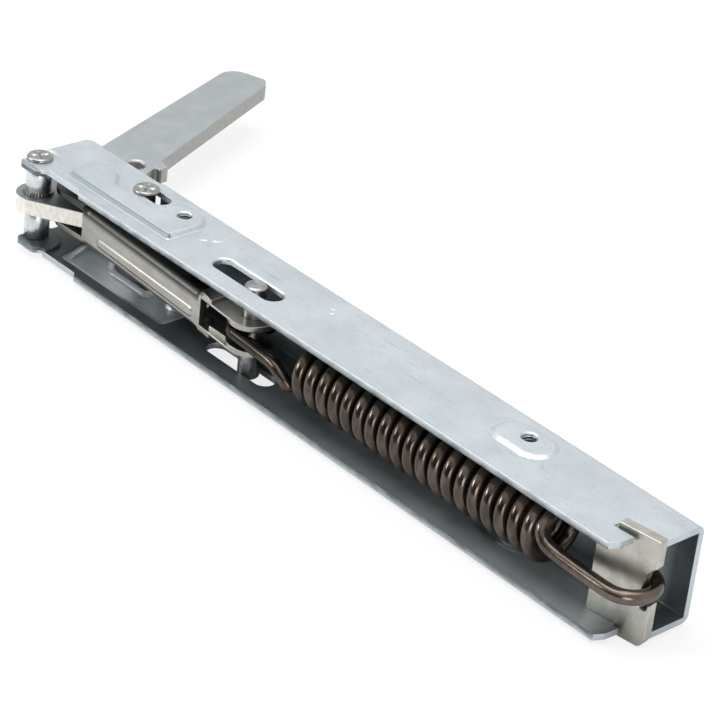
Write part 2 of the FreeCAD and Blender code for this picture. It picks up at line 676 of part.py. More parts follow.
def build_spring():
    """Tension spring: tilted coils in a row and a wire hook at each end."""
    body = new_body("tension_spring")
    crest = "coil_radius + wire_radius"
    groove = crest + " - coil_groove"
    left = ring_sketch(body, "coil_left", groove, "0")
    middle = ring_sketch(body, "coil_crest", crest, "1 / 2")
    right = ring_sketch(body, "coil_right", groove, "1")
    coil = body.newObject("PartDesign::AdditiveLoft", "coil")
    coil.Profile = left
    coil.Sections = [middle, right]
    coil.Ruled = True
    doc.recompute()
    row = body.newObject("PartDesign::LinearPattern", "coil_row")
    row.Originals = [coil]
    row.Direction = (plane_of(body, "YZ_Plane"), [""])
    row.setExpression("Length", linked("(coil_turns - 1) * " + COIL_PITCH))
    row.setExpression("Occurrences", linked("coil_turns"))
    body.Tip = row
    doc.recompute()
    bore = new_sketch(body, "coil_bore", "YZ_Plane")
    draw_circle(bore, "link_slot_y", "0", "coil_radius - wire_radius")
    add_pocket(body, bore, "coil_inside", both_ways=True)
    hook(body, "hook", "coil_start + wire_radius", "traction_x", "hook_radius", True)
    hook(body, "tail", COIL_END + " - wire_radius", "(case_end - tail_setback)",
         "tail_radius", False)
    return body


def ring_sketch(body, name, radius, share):
    """Many-sided ring, tilted as the wire runs, a share of the pitch along."""
    sketch = new_sketch(body, name, "YZ_Plane")
    sketch.AttachmentOffset = Placement(Vector(0, 0, 0), Rotation(Vector(1, 0, 0), -1))
    sketch.setExpression("AttachmentOffset.Base.z",
                         linked("coil_start + (%s) * %s" % (share, COIL_PITCH)))
    sketch.setExpression("AttachmentOffset.Rotation.Angle",
                         linked("-asin(%s / 4 / coil_radius)" % COIL_PITCH))
    return draw_polygon(sketch, regular_corners("link_slot_y", "0", radius, COIL_SIDES))


def regular_corners(x, y, radius, sides):
    """Corners of a regular outline, with flats to the sides."""
    corners = []
    for index in range(sides):
        turn = 360 * (index + 0.5) / sides
        corners.append(("%s + (%s) * cos(%s)" % (x, radius, turn),
                        "%s + (%s) * sin(%s)" % (y, radius, turn)))
    return corners


def hook(body, name, start, centre_x, radius, leftward):
    """Wire that leaves the coils' near side and bends back round its hold."""
    path = new_sketch(body, name + "_path")
    centre = Vector(value(centre_x), value("link_slot_y"), 0)
    foot = Vector(value(start), value("link_slot_y - coil_radius + hook_offset"), 0)
    towards = foot - centre
    swing = math.acos(value(radius) / towards.Length)
    bearing = math.atan2(towards.y, towards.x)
    meet = bearing - swing if leftward else bearing + swing
    touch = centre + Vector(math.cos(meet), math.sin(meet), 0) * value(radius)
    circle = Part.Circle(centre, Vector(0, 0, 1), value(radius))
    if leftward:
        bend = Part.ArcOfCircle(circle, math.pi / 2, meet + 2 * math.pi)
        joint, tip = 2, 1
    else:
        bend = Part.ArcOfCircle(circle, meet, math.pi / 2)
        joint, tip = 1, 2
    leg = path.addGeometry(Part.LineSegment(foot, touch), False)
    arc = path.addGeometry(bend, False)
    path.addConstraint(Sketcher.Constraint("Tangent", leg, 2, arc, joint))
    bind(path, "DistanceX", (-1, 1, leg, 1), start)
    bind(path, "DistanceY", (-1, 1, leg, 1), "link_slot_y - coil_radius + hook_offset")
    bind(path, "DistanceX", (-1, 1, arc, 3), centre_x)
    bind(path, "DistanceY", (-1, 1, arc, 3), "link_slot_y")
    bind(path, "DistanceX", (-1, 1, arc, tip), centre_x)
    bind(path, "Radius", (arc,), radius)
    doc.recompute()
    profile = new_sketch(body, name + "_wire", "YZ_Plane", start)
    draw_polygon(profile, regular_corners("link_slot_y - coil_radius + hook_offset", "0",
                                          "wire_radius", WIRE_SIDES))
    pipe = body.newObject("PartDesign::AdditivePipe", name)
    pipe.Profile = profile
    pipe.Spine = path
    doc.recompute()
    return pipe


build_case()
build_arm()
build_link()
build_pins()
build_anchor()
build_spring()
doc.recompute()

for item in doc.Objects:
    if "Invalid" in item.State or "Error" in item.State:
        raise RuntimeError("%s did not compute: %s" % (item.Label, item.getStatusString()))

bodies = [item for item in doc.Objects if item.TypeId == "PartDesign::Body"]
for body in bodies:
    if body.Shape.isNull() or not body.Shape.isValid() or len(body.Shape.Solids) != 1:
        raise RuntimeError("%s isn't one valid solid" % body.Label)

os.makedirs("parts", exist_ok=True)
for body in bodies:
    body.Shape.exportStep("parts/%s.step" % body.Label)
    box = body.Shape.BoundBox
    print("%-16s %9.1f mm3  x %.2f..%.2f  y %.2f..%.2f  z %.2f..%.2f" % (
        body.Label, body.Shape.Volume, box.XMin, box.XMax, box.YMin, box.YMax,
        box.ZMin, box.ZMax))
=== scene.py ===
"""Looks of the oven door hinge: finishes, eased parts, wound spring, light and camera."""

import logging
import math
from dataclasses import dataclass
from enum import Enum
from typing import Callable, Dict, List, Optional, Sequence, Tuple

import bmesh
import bpy
from mathutils import Euler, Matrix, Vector


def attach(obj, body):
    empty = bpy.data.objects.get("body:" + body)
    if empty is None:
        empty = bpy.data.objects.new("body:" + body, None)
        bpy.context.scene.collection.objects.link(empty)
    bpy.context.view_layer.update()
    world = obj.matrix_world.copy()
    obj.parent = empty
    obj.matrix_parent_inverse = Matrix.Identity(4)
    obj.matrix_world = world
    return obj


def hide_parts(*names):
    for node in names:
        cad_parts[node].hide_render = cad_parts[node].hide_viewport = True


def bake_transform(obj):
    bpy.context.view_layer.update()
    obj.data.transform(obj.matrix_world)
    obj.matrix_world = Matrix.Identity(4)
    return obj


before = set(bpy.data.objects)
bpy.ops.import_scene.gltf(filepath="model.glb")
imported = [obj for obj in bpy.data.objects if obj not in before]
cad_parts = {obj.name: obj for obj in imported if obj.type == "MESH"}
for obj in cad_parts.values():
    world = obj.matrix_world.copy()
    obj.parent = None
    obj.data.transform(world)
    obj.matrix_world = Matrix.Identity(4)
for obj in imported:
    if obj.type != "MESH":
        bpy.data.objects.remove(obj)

LOG = logging.getLogger("oven_door_hinge")
MM = 0.001
Colour = Tuple[float, float, float, float]
Point = Tuple[float, float, float]
Pair = Tuple[float, float]
Outline = Tuple[Pair, ...]
Socket = Tuple[bpy.types.Node, object]

NOISE_SPAN = (0.3, 0.7)   # nearly all values of a noise pattern lie in here
CLOUD_SPAN = (0.32, 0.68)
WHOLE = (0.0, 1.0)


def linear(hex_code: str) -> Colour:
    """Turn an sRGB hex code into a linear colour.

    Args:
        hex_code: six hex digits, without a hash sign.

    Returns:
        Linear red, green, blue and an alpha of one.
    """
    channels = []
    for place in (0, 2, 4):
        level = int(hex_code[place:place + 2], 16) / 255
        channels.append(level / 12.92 if level <= 0.04045 else ((level + 0.055) / 1.055) ** 2.4)
    return (channels[0], channels[1], channels[2], 1.0)


def placed(name: str, data: Optional[bpy.types.ID]) -> bpy.types.Object:
    """Put data into the scene as an object at the origin.

    Args:
        name: the object's name.
        data: its mesh, curve, light or camera.

    Returns:
        The object.
    """
    thing = bpy.data.objects.new(name, data)
    bpy.context.scene.collection.objects.link(thing)
    return thing


def evaluated(source: bpy.types.Object) -> bpy.types.Mesh:
    """Apply an object's modifiers and remove the object.

    Args:
        source: the object that carries the modifiers.

    Returns:
        A plain mesh of what the modifiers made.
    """
    bpy.context.view_layer.update()
    graph = bpy.context.evaluated_depsgraph_get()
    mesh = bpy.data.meshes.new_from_object(source.evaluated_get(graph))
    bpy.data.objects.remove(source)
    return mesh


def shade_smooth(mesh: bpy.types.Mesh, sharp_fold: float) -> None:
    """Shade a mesh smooth except across its sharp folds.

    Args:
        mesh: the mesh.
        sharp_fold: the fold in degrees from which an edge stays sharp.
    """
    for face in mesh.polygons:
        face.use_smooth = True
    mesh.set_sharp_from_angle(angle=math.radians(sharp_fold))


class NodeSheet:
    """A node tree that takes nodes together with their settings and links."""

    def __init__(self, tree: bpy.types.NodeTree) -> None:
        """Keep the tree that the nodes are added to."""
        self.tree = tree

    def find(self, sockets: Sequence[bpy.types.NodeSocket], key: object) -> bpy.types.NodeSocket:
        """Find a socket among a node's inputs or outputs.

        Args:
            sockets: the node's inputs or outputs.
            key: the socket's number, identifier or name, with underscores for spaces.

        Returns:
            The first socket that fits.
        """
        if isinstance(key, int):
            return sockets[key]
        return next(entry for entry in sockets
                    if key in (entry.identifier, entry.name, entry.name.replace(" ", "_")))

    def feed(self, node: bpy.types.Node, key: object, entry: object) -> None:
        """Fill one input of a node.

        Args:
            node: the node.
            key: the input's number, identifier or name.
            entry: a value to set, or a (node, output) pair to join.
        """
        socket = self.find(node.inputs, key)
        if isinstance(entry, tuple) and isinstance(entry[0], bpy.types.Node):
            self.tree.links.new(self.find(entry[0].outputs, entry[1]), socket)
        else:
            socket.default_value = entry

    def add(self, kind: str, settings: Optional[dict] = None, *entries: object,
            **inputs: object) -> bpy.types.Node:
        """Add a node with its settings and links.

        Args:
            kind: the node's type name.
            settings: attributes of the node itself.
            entries: its first inputs in order, each a value or a (node, output) pair.
            inputs: further inputs by name or identifier.

        Returns:
            The new node.
        """
        node = self.tree.nodes.new(kind)
        for key, setting in (settings or {}).items():
            setattr(node, key, setting)
        for key, entry in [*enumerate(entries), *inputs.items()]:
            self.feed(node, key, entry)
        return node


class FinishTree(NodeSheet):
    """A material's nodes: its shader, its output and patterns of a real size."""

    def __init__(self, name: str) -> None:
        """Start a material with its shader and output.

        Args:
            name: the material's name.
        """
        self.material = bpy.data.materials.new(name)
        self.material.use_nodes = True
        super().__init__(self.material.node_tree)
        self.tree.nodes.clear()
        self.shader = self.add("ShaderNodeBsdfPrincipled")
        self.output = self.add("ShaderNodeOutputMaterial", Surface=(self.shader, "BSDF"))
        self.place = self.add("ShaderNodeTexCoord")

    def pattern(self, size_mm: float, detail: float = 3.0,
                stretch: Point = (1, 1, 1)) -> bpy.types.Node:
        """Lay a noise pattern of a real size on the object's own coordinates.

        Args:
            size_mm: size of the pattern's features in millimetres.
            detail: octaves of detail.
            stretch: how much finer the pattern is along each axis.

        Returns:
            The node whose Fac is the pattern.
        """
        mapping = self.add("ShaderNodeMapping", Vector=(self.place, "Object"), Scale=stretch)
        return self.add("ShaderNodeTexNoise", Vector=(mapping, "Vector"),
                        Scale=1 / (size_mm * MM), Detail=detail)

    def room(self, *limits: Tuple[Socket, str, float]) -> Socket:
        """Mark the places that keep every limit.

        Args:
            limits: for each, a coordinate, LESS_THAN or GREATER_THAN, and a level in
                millimetres.

        Returns:
            The value that is one inside and zero elsewhere.
        """
        tests = [(self.add("ShaderNodeMath", {"operation": side}, source, level_mm * MM), "Value")
                 for source, side, level_mm in limits]
        mask = tests[0]
        for test in tests[1:]:
            mask = (self.add("ShaderNodeMath", {"operation": "MULTIPLY"}, mask, test), "Value")
        return mask

    def fade(self, source: Socket, span: Pair, first: object, second: object,
             shares: Pair = WHOLE) -> Socket:
        """Fade one colour into another while a value runs through a span.

        Args:
            source: the value.
            span: where the fading starts and ends.
            first: the colour before it, as a colour or a (node, output) pair.
            second: the colour after it, given the same way.
            shares: how much of the second colour there is before and after.

        Returns:
            The faded colour.
        """
        share = self.add("ShaderNodeMapRange", None, source, *span, *shares)
        mixed = self.add("ShaderNodeMix", {"data_type": "RGBA"}, (share, "Result"),
                         A_Color=first, B_Color=second)
        return mixed, "Result_Color"

    def grain(self, size_mm: float, stretch: Point, depth_mm: float, strength: float,
              gloss: Pair) -> None:
        """Give the surface a fine grain in its roughness and relief.

        Args:
            size_mm: size of the grain.
            stretch: how much finer the grain is along each axis.
            depth_mm: real depth of the grain.
            strength: share of that depth that shades the surface.
            gloss: least and greatest roughness.
        """
        grain = self.pattern(size_mm, 3.0, stretch)
        rough = self.add("ShaderNodeMapRange", None, (grain, "Fac"), *NOISE_SPAN, *gloss)
        self.feed(self.shader, "Roughness", (rough, "Result"))
        bump = self.add("ShaderNodeBump", Strength=strength, Distance=depth_mm * MM,
                        Height=(grain, "Fac"))
        self.feed(self.shader, "Normal", (bump, "Normal"))


@dataclass(frozen=True)
class SheetFinish:
    """Rolled or plated sheet: cloudy colour, fine grain and a soft gloss."""

    name: str
    light: str
    dark: str
    roughness: float
    metallic: float = 1.0
    cloud_mm: float = 6.0
    grain_mm: float = 0.3
    grain_stretch: Point = (1.0, 1.0, 1.0)
    grain_depth_mm: float = 0.006
    streak: str = "5E5C58"
    streak_mm: float = 0.45
    streak_stretch: Point = (0.03, 1.0, 1.0)
    streak_span: Pair = (0.35, 0.75)
    streak_share: float = 0.0

    def colour(self, tree: FinishTree) -> Socket:
        """Mix the two tones in clouds, with streaks where the sheet was rolled.

        Args:
            tree: the material under construction.

        Returns:
            The colour.
        """
        base = tree.fade((tree.pattern(self.cloud_mm, 5.0), "Fac"), CLOUD_SPAN,
                         linear(self.dark), linear(self.light))
        if not self.streak_share:
            return base
        streak = tree.pattern(self.streak_mm, 4.0, self.streak_stretch)
        return tree.fade((streak, "Fac"), self.streak_span, base, linear(self.streak),
                         (0.0, self.streak_share))

    def shine(self, tree: FinishTree) -> None:
        """Set how metallic the sheet is."""
        tree.feed(tree.shader, "Metallic", self.metallic)

    def build(self) -> bpy.types.Material:
        """Build the material.

        Returns:
            The material.
        """
        tree = FinishTree(self.name)
        tree.feed(tree.shader, "Base_Color", self.colour(tree))
        tree.grain(self.grain_mm, self.grain_stretch, self.grain_depth_mm, 0.6,
                   (self.roughness - 0.04, self.roughness + 0.06))
        self.shine(tree)
        return tree.material


@dataclass(frozen=True)
class CaseZinc(SheetFinish):
    """Satin zinc plate: pale and cloudy with fine scratches outside.

    Inside the channel the slate grey is painted shade, darkest towards the pivot, with painted
    light that pales it along the channel; the sheared edges get a painted highlight at the outer
    burr and are darker at the inner one.
    """

    scratch: str = "8E979B"
    speck_span: Pair = (0.58, 0.78)
    speck_share: float = 0.45
    scratch_span: Pair = (0.66, 0.74)
    scratch_share: float = 0.5
    inside_metallic: float = 0.6
    # painted shade: the slate tones of the channel's inside, paler end
    inside_light: str = "B8BFC2"
    inside_dark: str = "969EA1"
    inside_half_mm: float = 9.95
    inside_web_mm: float = 15.75
    # painted shade: darker slate tones towards the pivot
    deep_light: str = "4C5356"
    deep_dark: str = "363C3F"
    # painted light: the inside grows paler along X up to the anchor plate, and painted shade
    # darkens it again at the far end
    painted_light_span: Pair = (55 * MM, 182 * MM)
    shaded_span: Pair = (187 * MM, 192 * MM)
    shaded_share: float = 0.12
    # painted shade on the long pad's near wall
    wall: str = "7F878A"
    wall_mm: Pair = (11.5, 12.36)
    wall_near_mm: float = 0.8
    wall_end_mm: float = 70.0
    # cut edge tones: a painted highlight towards the outer burr, darker towards the inner skin
    cut_light: str = "B6BDC0"
    cut_dark: str = "5A6164"
    cut_mm: float = -3.8
    cut_rise_span: Pair = (9.95 * MM, 11.2 * MM)
    chip_share: float = 0.5

    def coordinates(self, tree: FinishTree) -> Tuple[bpy.types.Node, Socket]:
        """Split the coordinates, with the height above or below the middle plane.

        Args:
            tree: the material under construction.

        Returns:
            The node with the separate coordinates, and the height.
        """
        axes = tree.add("ShaderNodeSeparateXYZ", Vector=(tree.place, "Object"))
        height = tree.add("ShaderNodeMath", {"operation": "ABSOLUTE"}, (axes, "Z"))
        return axes, (height, "Value")

    def colour(self, tree: FinishTree) -> Socket:
        """Join the outside, the inside and the cut edges.

        Args:
            tree: the material under construction.

        Returns:
            The colour.
        """
        axes, height = self.coordinates(tree)
        skin = tree.fade(self.inside_mask(tree), WHOLE, self.outside(tree), self.inside(tree))
        nick = tree.pattern(1.4, 4.0, (0.4, 1.0, 1.0))
        chips = tree.add("ShaderNodeMapRange", None, (nick, "Fac"), *NOISE_SPAN, -0.5, 0.5)
        # painted highlight: the cut edges brighten towards the outer skin, over random chips
        rise = tree.add("ShaderNodeMapRange", None, height, *self.cut_rise_span)
        worn = tree.add("ShaderNodeMath", {"operation": "MULTIPLY_ADD"}, (chips, "Result"),
                        self.chip_share, (rise, "Result"))
        edge = tree.fade((worn, "Value"), WHOLE, linear(self.cut_dark), linear(self.cut_light))
        return tree.fade(tree.room(((axes, "Y"), "LESS_THAN", self.cut_mm)), WHOLE, skin, edge)

    def outside(self, tree: FinishTree) -> Socket:
        """Scratch the cloudy zinc, and paint shade on the long pad's near wall.

        Args:
            tree: the material under construction.

        Returns:
            The colour.
        """
        axes, height = self.coordinates(tree)
        spotted = tree.fade((tree.pattern(0.9, 6.0), "Fac"), self.speck_span,
                            super().colour(tree), linear(self.scratch), (0.0, self.speck_share))
        lines = tree.pattern(0.5, 2.0, (0.05, 0.8, 1.0))
        worn = tree.fade((lines, "Fac"), self.scratch_span, spotted, linear(self.scratch),
                         (0.0, self.scratch_share))
        # painted shade: the long pad's near wall is darkened
        wall = tree.room((height, "GREATER_THAN", self.wall_mm[0]),
                         (height, "LESS_THAN", self.wall_mm[1]),
                         ((axes, "Y"), "LESS_THAN", self.wall_near_mm),
                         ((axes, "X"), "LESS_THAN", self.wall_end_mm))
        return tree.fade(wall, WHOLE, worn, linear(self.wall))

    def inside(self, tree: FinishTree) -> Socket:
        """Paint shade inside the channel, with painted light that pales it along the channel up to
        the anchor plate.

        Args:
            tree: the material under construction.

        Returns:
            The colour.
        """
        axes, _ = self.coordinates(tree)
        cloud = (tree.pattern(11.0, 4.0), "Fac")
        deep, pale = (tree.fade(cloud, NOISE_SPAN, linear(dark), linear(light))
                      for dark, light in ((self.deep_dark, self.deep_light),
                                          (self.inside_dark, self.inside_light)))
        # painted light along X, then painted shade at the far end
        along = tree.add("ShaderNodeMapRange", None, (axes, "X"), *self.painted_light_span)
        before = tree.add("ShaderNodeMapRange", None, (axes, "X"), *self.shaded_span, 1.0,
                          self.shaded_share)
        share = tree.add("ShaderNodeMath", {"operation": "MULTIPLY"}, (along, "Result"),
                         (before, "Result"))
        return tree.fade((share, "Value"), WHOLE, deep, pale)

    def shine(self, tree: FinishTree) -> None:
        """Keep the outside metallic and the thin plating inside duller.

        Args:
            tree: the material under construction.
        """
        share = tree.add("ShaderNodeMapRange", None, self.inside_mask(tree), *WHOLE,
                         self.metallic, self.inside_metallic)
        tree.feed(tree.shader, "Metallic", (share, "Result"))

    def inside_mask(self, tree: FinishTree) -> Socket:
        """Mark what lies between the flanges and in front of the web.

        Args:
            tree: the material under construction.

        Returns:
            The value that is one inside the channel and zero elsewhere.
        """
        axes, height = self.coordinates(tree)
        return tree.room((height, "LESS_THAN", self.inside_half_mm),
                         ((axes, "Y"), "LESS_THAN", self.inside_web_mm))


@dataclass(frozen=True)
class LinkSheet(SheetFinish):
    """Rolled sheet with streaks along it, with painted shade on the bend under the flange."""

    # painted shade on the web's upper bend, under the flange
    shade_band: str = "41413F"
    band_span: Pair = (1.7 * MM, 2.9 * MM)
    band_near_mm: float = 4.3
    band_end_mm: float = 61.8

    def colour(self, tree: FinishTree) -> Socket:
        """Lay the painted shade over the streaked sheet along the web's upper bend.

        Args:
            tree: the material under construction.

        Returns:
            The colour.
        """
        axes = tree.add("ShaderNodeSeparateXYZ", Vector=(tree.place, "Object"))
        # painted shade on the web's upper bend
        rise = tree.add("ShaderNodeMapRange", None, (axes, "Z"), *self.band_span)
        room = tree.room(((axes, "Y"), "LESS_THAN", self.band_near_mm),
                         ((axes, "X"), "LESS_THAN", self.band_end_mm))
        share = tree.add("ShaderNodeMath", {"operation": "MULTIPLY"}, (rise, "Result"), room)
        return tree.fade((share, "Value"), WHOLE, super().colour(tree), linear(self.shade_band))


@dataclass(frozen=True)
class ShearedPlate(SheetFinish):
    """Thick rolled plate: matt grey faces and warm sheared edges, with painted light and shade
    near the root.
    """

    # edge tones: painted light near the root, greyer towards the blade
    edge_light: str = "E4E1D9"
    edge_dark: str = "CBC8BF"
    # painted shade on the faces at the root, under the ear
    root_face_shade: str = "83898B"
    blade_light: str = "A6A6A2"
    blade_dark: str = "969692"
    blade_span: Pair = (13 * MM, 19 * MM)
    half_thickness_mm: float = 1.86

    def colour(self, tree: FinishTree) -> Socket:
        """Join the faces and the edges: painted shade darkens the faces at the root under the ear,
        and painted light brightens the edges there, greyer towards the blade.

        Args:
            tree: the material under construction.

        Returns:
            The colour.
        """
        axes = tree.add("ShaderNodeSeparateXYZ", Vector=(tree.place, "Object"))
        streak = (tree.pattern(0.6, 4.0, (1.0, 1.0, 0.4)), "Fac")
        root, blade = (tree.fade(streak, NOISE_SPAN, linear(dark), linear(light))
                       for dark, light in ((self.edge_dark, self.edge_light),
                                           (self.blade_dark, self.blade_light)))
        # painted light on the edges and painted shade on the faces near the root
        edge = tree.fade((axes, "Y"), self.blade_span, root, blade)
        face = tree.fade((axes, "Y"), self.blade_span, linear(self.root_face_shade),
                         super().colour(tree))
        between = tree.room(((axes, "Z"), "LESS_THAN", self.half_thickness_mm),
                            ((axes, "Z"), "GREATER_THAN", -self.half_thickness_mm))
        return tree.fade(between, WHOLE, face, edge)


@dataclass(frozen=True)
class WireFinish:
    """Oil-tempered spring wire: dark brown skin with worn warm streaks.

    The hook and its leg carry painted shade, and the tail carries a painted highlight that makes
    it paler.
    """

    name: str = "oil_tempered_wire"
    skin: str = "443C35"
    worn: str = "675D54"
    worn_span: Pair = (0.42, 0.8)
    # painted shade on the hook and its leg
    hook_shade: str = "2B2621"
    hook_shade_span: Pair = (84 * MM, 93 * MM)
    # painted highlight on the tail
    tail_highlight: str = "7A6F65"
    tail_highlight_span: Pair = (178 * MM, 190 * MM)
    tail_highlight_share: float = 0.35
    roughness: float = 0.2
    metallic: float = 0.9
    streak_mm: float = 1.6

    def build(self) -> bpy.types.Material:
        """Build the material.

        Returns:
            The material.
        """
        tree = FinishTree(self.name)
        axes = tree.add("ShaderNodeSeparateXYZ", Vector=(tree.place, "Object"))
        streak = tree.pattern(self.streak_mm, 6.0, (1.0, 0.4, 0.4))
        wound = tree.fade((streak, "Fac"), self.worn_span, linear(self.skin), linear(self.worn))
        # painted shade on the hook end of the wire
        hook_shade = tree.fade((axes, "X"), self.hook_shade_span, wound, linear(self.hook_shade), (1.0, 0.0))
        # painted highlight: the tail is paler
        tail_highlight = tree.fade((axes, "X"), self.tail_highlight_span, hook_shade, linear(self.tail_highlight),
                           (0.0, self.tail_highlight_share))
        tree.feed(tree.shader, "Base_Color", tail_highlight)
        tree.grain(0.35, (1, 1, 1), 0.002, 0.3, (self.roughness - 0.04, self.roughness + 0.07))
        tree.feed(tree.shader, "Metallic", self.metallic)
        return tree.material


class Finish(Enum):
    """The finishes that the hinge's pieces have."""

    # Pale blue-grey clouds under a satin gloss, with short fine scratches.
    ZINC = CaseZinc("satin_zinc_plate", "BFC6CA", "B2BABF", 0.42, metallic=0.9, cloud_mm=8.0)
    # Flat matt grey with hardly any pattern, and warm bright sheared edges.
    ARM = ShearedPlate("sheared_rolled_plate", "A6ACAE", "9DA2A5", 0.5, cloud_mm=4.0,
                       grain_depth_mm=0.003)
    # Warm grey drawn out in long thin streaks along the link.
    LINK = LinkSheet("streaked_rolled_sheet", "A5A39D", "9A9892", 0.32, cloud_mm=4.0,
                     grain_stretch=(0.08, 1.0, 1.0), streak_share=0.3)
    # Warm bright steel with a little cloudiness.
    ANCHOR = SheetFinish("bright_rolled_plate", "B9B7AE", "A2A098", 0.33, cloud_mm=3.0,
                         grain_stretch=(1.0, 1.0, 0.3))
    # Neutral steel in small light and dark patches, glossy enough to catch the lamps.
    TURNED = SheetFinish("turned_steel", "A3A4A2", "7F807F", 0.3, cloud_mm=1.2)
    # Pale glossy tube with fine lines drawn along it.
    TUBE = SheetFinish("drawn_tube", "CDD0D1", "B4B8BA", 0.27, cloud_mm=2.0,
                       grain_stretch=(1.0, 1.0, 0.08))
    # Dark brown wire with narrow bright reflections.
    WIRE = WireFinish()

    def material(self) -> bpy.types.Material:
        """The finish's material, built once."""
        found = bpy.data.materials.get(self.value.name)
        return found or self.value.build()


@dataclass(frozen=True)
class SoftStamp:
    """A form pressed into one skin of a sheet, with a soft wall round its outline.

    The skin inside the form's borders is cut into a grid, and each corner of the grid is
    set to the height that its distance from the outline gives. All sizes are in
    millimetres.
    """

    outline: Outline
    level: float
    height: float = 1.0
    run: float = 1.2
    step: float = 0.45
    margin: float = 0.6
    across: Tuple[int, int, int] = (0, 1, 2)
    sign: int = 1
    side: int = 1
    tilt: float = 0.0
    holes: Outline = ()
    hole_reach: float = 2.02
    least_facing: float = 0.35
    slack: float = 0.08

    def base(self, along: float) -> float:
        """Level of the unpressed skin at a place along the sheet, in millimetres."""
        return self.level + self.tilt * along

    def on_skin(self, face: bmesh.types.BMFace) -> bool:
        """Tell whether a face belongs to the skin that is pressed.

        Args:
            face: the face.

        Returns:
            Whether it faces the right way, lies on the skin and outside the screw holes.
        """
        push = self.across[2]
        if face.normal[push] * self.side < self.least_facing:
            return False
        middle = face.calc_center_median() / MM
        for hole in self.holes:
            if math.dist((middle[self.across[0]], middle[self.across[1]]), hole) < self.hole_reach:
                return False
        rise = (middle[push] - self.base(middle[self.across[0]])) * self.sign
        return (min(0.0, self.height) - self.slack < rise
                < max(0.0, self.height) + self.slack)

    def borders(self) -> Tuple[float, float, float, float]:
        """Find the low and high border of the pressed region along both of its axes.

        Returns:
            Low and high border along the sheet, then across it.
        """
        firsts = [spot[0] for spot in self.outline]
        seconds = [spot[1] for spot in self.outline]
        reach = self.run / 2 + self.margin
        return (min(firsts) - reach, max(firsts) + reach,
                min(seconds) - reach, max(seconds) + reach)

    def within(self, face: bmesh.types.BMFace) -> bool:
        """Tell whether a face's middle lies between the borders.

        Args:
            face: the face.

        Returns:
            Whether it does.
        """
        middle = face.calc_center_median() / MM
        low_u, high_u, low_v, high_v = self.borders()
        return (low_u < middle[self.across[0]] < high_u
                and low_v < middle[self.across[1]] < high_v)

    def cut(self, shape: bmesh.types.BMesh, faces: Sequence[bmesh.types.BMFace], axis: int,
            places: Sequence[float]) -> None:
        """Cut faces along straight lines across one axis.

        Args:
            shape: the piece's shape.
            faces: the faces to be cut.
            axis: the axis along which the lines follow one another.
            places: where the lines are, in millimetres.
        """
        chosen = set(faces)
        for face in faces:
            chosen.update(face.edges)
            chosen.update(face.verts)
        geometry = list(chosen)
        normal = Vector([float(axis == index) for index in range(3)])
        for place in places:
            cut = bmesh.ops.bisect_plane(shape, geom=geometry, dist=1e-7,
                                         plane_co=normal * (place * MM), plane_no=normal)
            geometry = cut["geom"]

    def depth(self, first: float, second: float) -> float:
        """Find how much of the full height a place gets.

        Args:
            first: the place along the sheet.
            second: the place across it.

        Returns:
            A share from zero outside the wall to one inside it.
        """
        nearest = math.inf
        inside = False
        for index, start in enumerate(self.outline):
            end = self.outline[index - 1]
            run_u, run_v = end[0] - start[0], end[1] - start[1]
            share = ((first - start[0]) * run_u + (second - start[1]) * run_v)
            share = min(1.0, max(0.0, share / (run_u * run_u + run_v * run_v)))
            nearest = min(nearest, math.dist((first, second),
                                             (start[0] + share * run_u, start[1] + share * run_v)))
            if (start[1] > second) != (end[1] > second):
                if first < run_u * (second - start[1]) / run_v + start[0]:
                    inside = not inside
        share = min(1.0, max(0.0, (nearest if inside else -nearest) / self.run + 0.5))
        return share * share * (3 - 2 * share)

    def press(self, shape: bmesh.types.BMesh, mark: object) -> None:
        """Press the form into the shape and mark the faces that it made.

        Args:
            shape: the piece's shape.
            mark: integer face layer that is set to one on pressed faces.
        """
        first_axis, second_axis, push = self.across
        low_u, high_u, low_v, high_v = self.borders()
        sides = ((first_axis, low_u, high_u), (second_axis, low_v, high_v))
        self.cut(shape, [face for face in shape.faces if self.on_skin(face)], first_axis,
                 (low_u, high_u))
        strip = [face for face in shape.faces if self.on_skin(face)
                 and low_u < face.calc_center_median()[first_axis] / MM < high_u]
        self.cut(shape, strip, second_axis, (low_v, high_v))
        for axis, low, high in sides:
            count = int((high - low) / self.step)
            faces = [face for face in shape.faces if self.within(face) and self.on_skin(face)]
            self.cut(shape, faces, axis,
                     [low + (high - low) * index / count for index in range(1, count)])
        faces = [face for face in shape.faces if self.within(face) and self.on_skin(face)]
        spots = {vert for face in faces for vert in face.verts}
        for face in faces:
            face[mark] = 1
        for vert in spots:
            first, second = vert.co[first_axis] / MM, vert.co[second_axis] / MM
            rise = self.base(first) + self.sign * self.height * self.depth(first, second)
            vert.co[push] = rise * MM
        bmesh.ops.triangulate(shape, faces=[face for face in faces if len(face.verts) > 4])


@dataclass
class Piece:
    """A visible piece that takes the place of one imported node."""

    name: str
    node: str
    body: str
    slot: str
    finish: Finish

    def install(self, mesh: bpy.types.Mesh) -> bpy.types.Object:
        """Put a finished mesh in the node's place.

        Args:
            mesh: the piece's mesh, in its place in the frame.

        Returns:
            The piece's object.
        """
        mesh.materials.clear()
        mesh.materials.append(self.finish.material())
        piece = placed(self.name, mesh)
        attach(piece, self.body)
        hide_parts(self.node)
        LOG.info("%s: %d faces for node %s", self.name, len(mesh.polygons), self.node)
        return piece


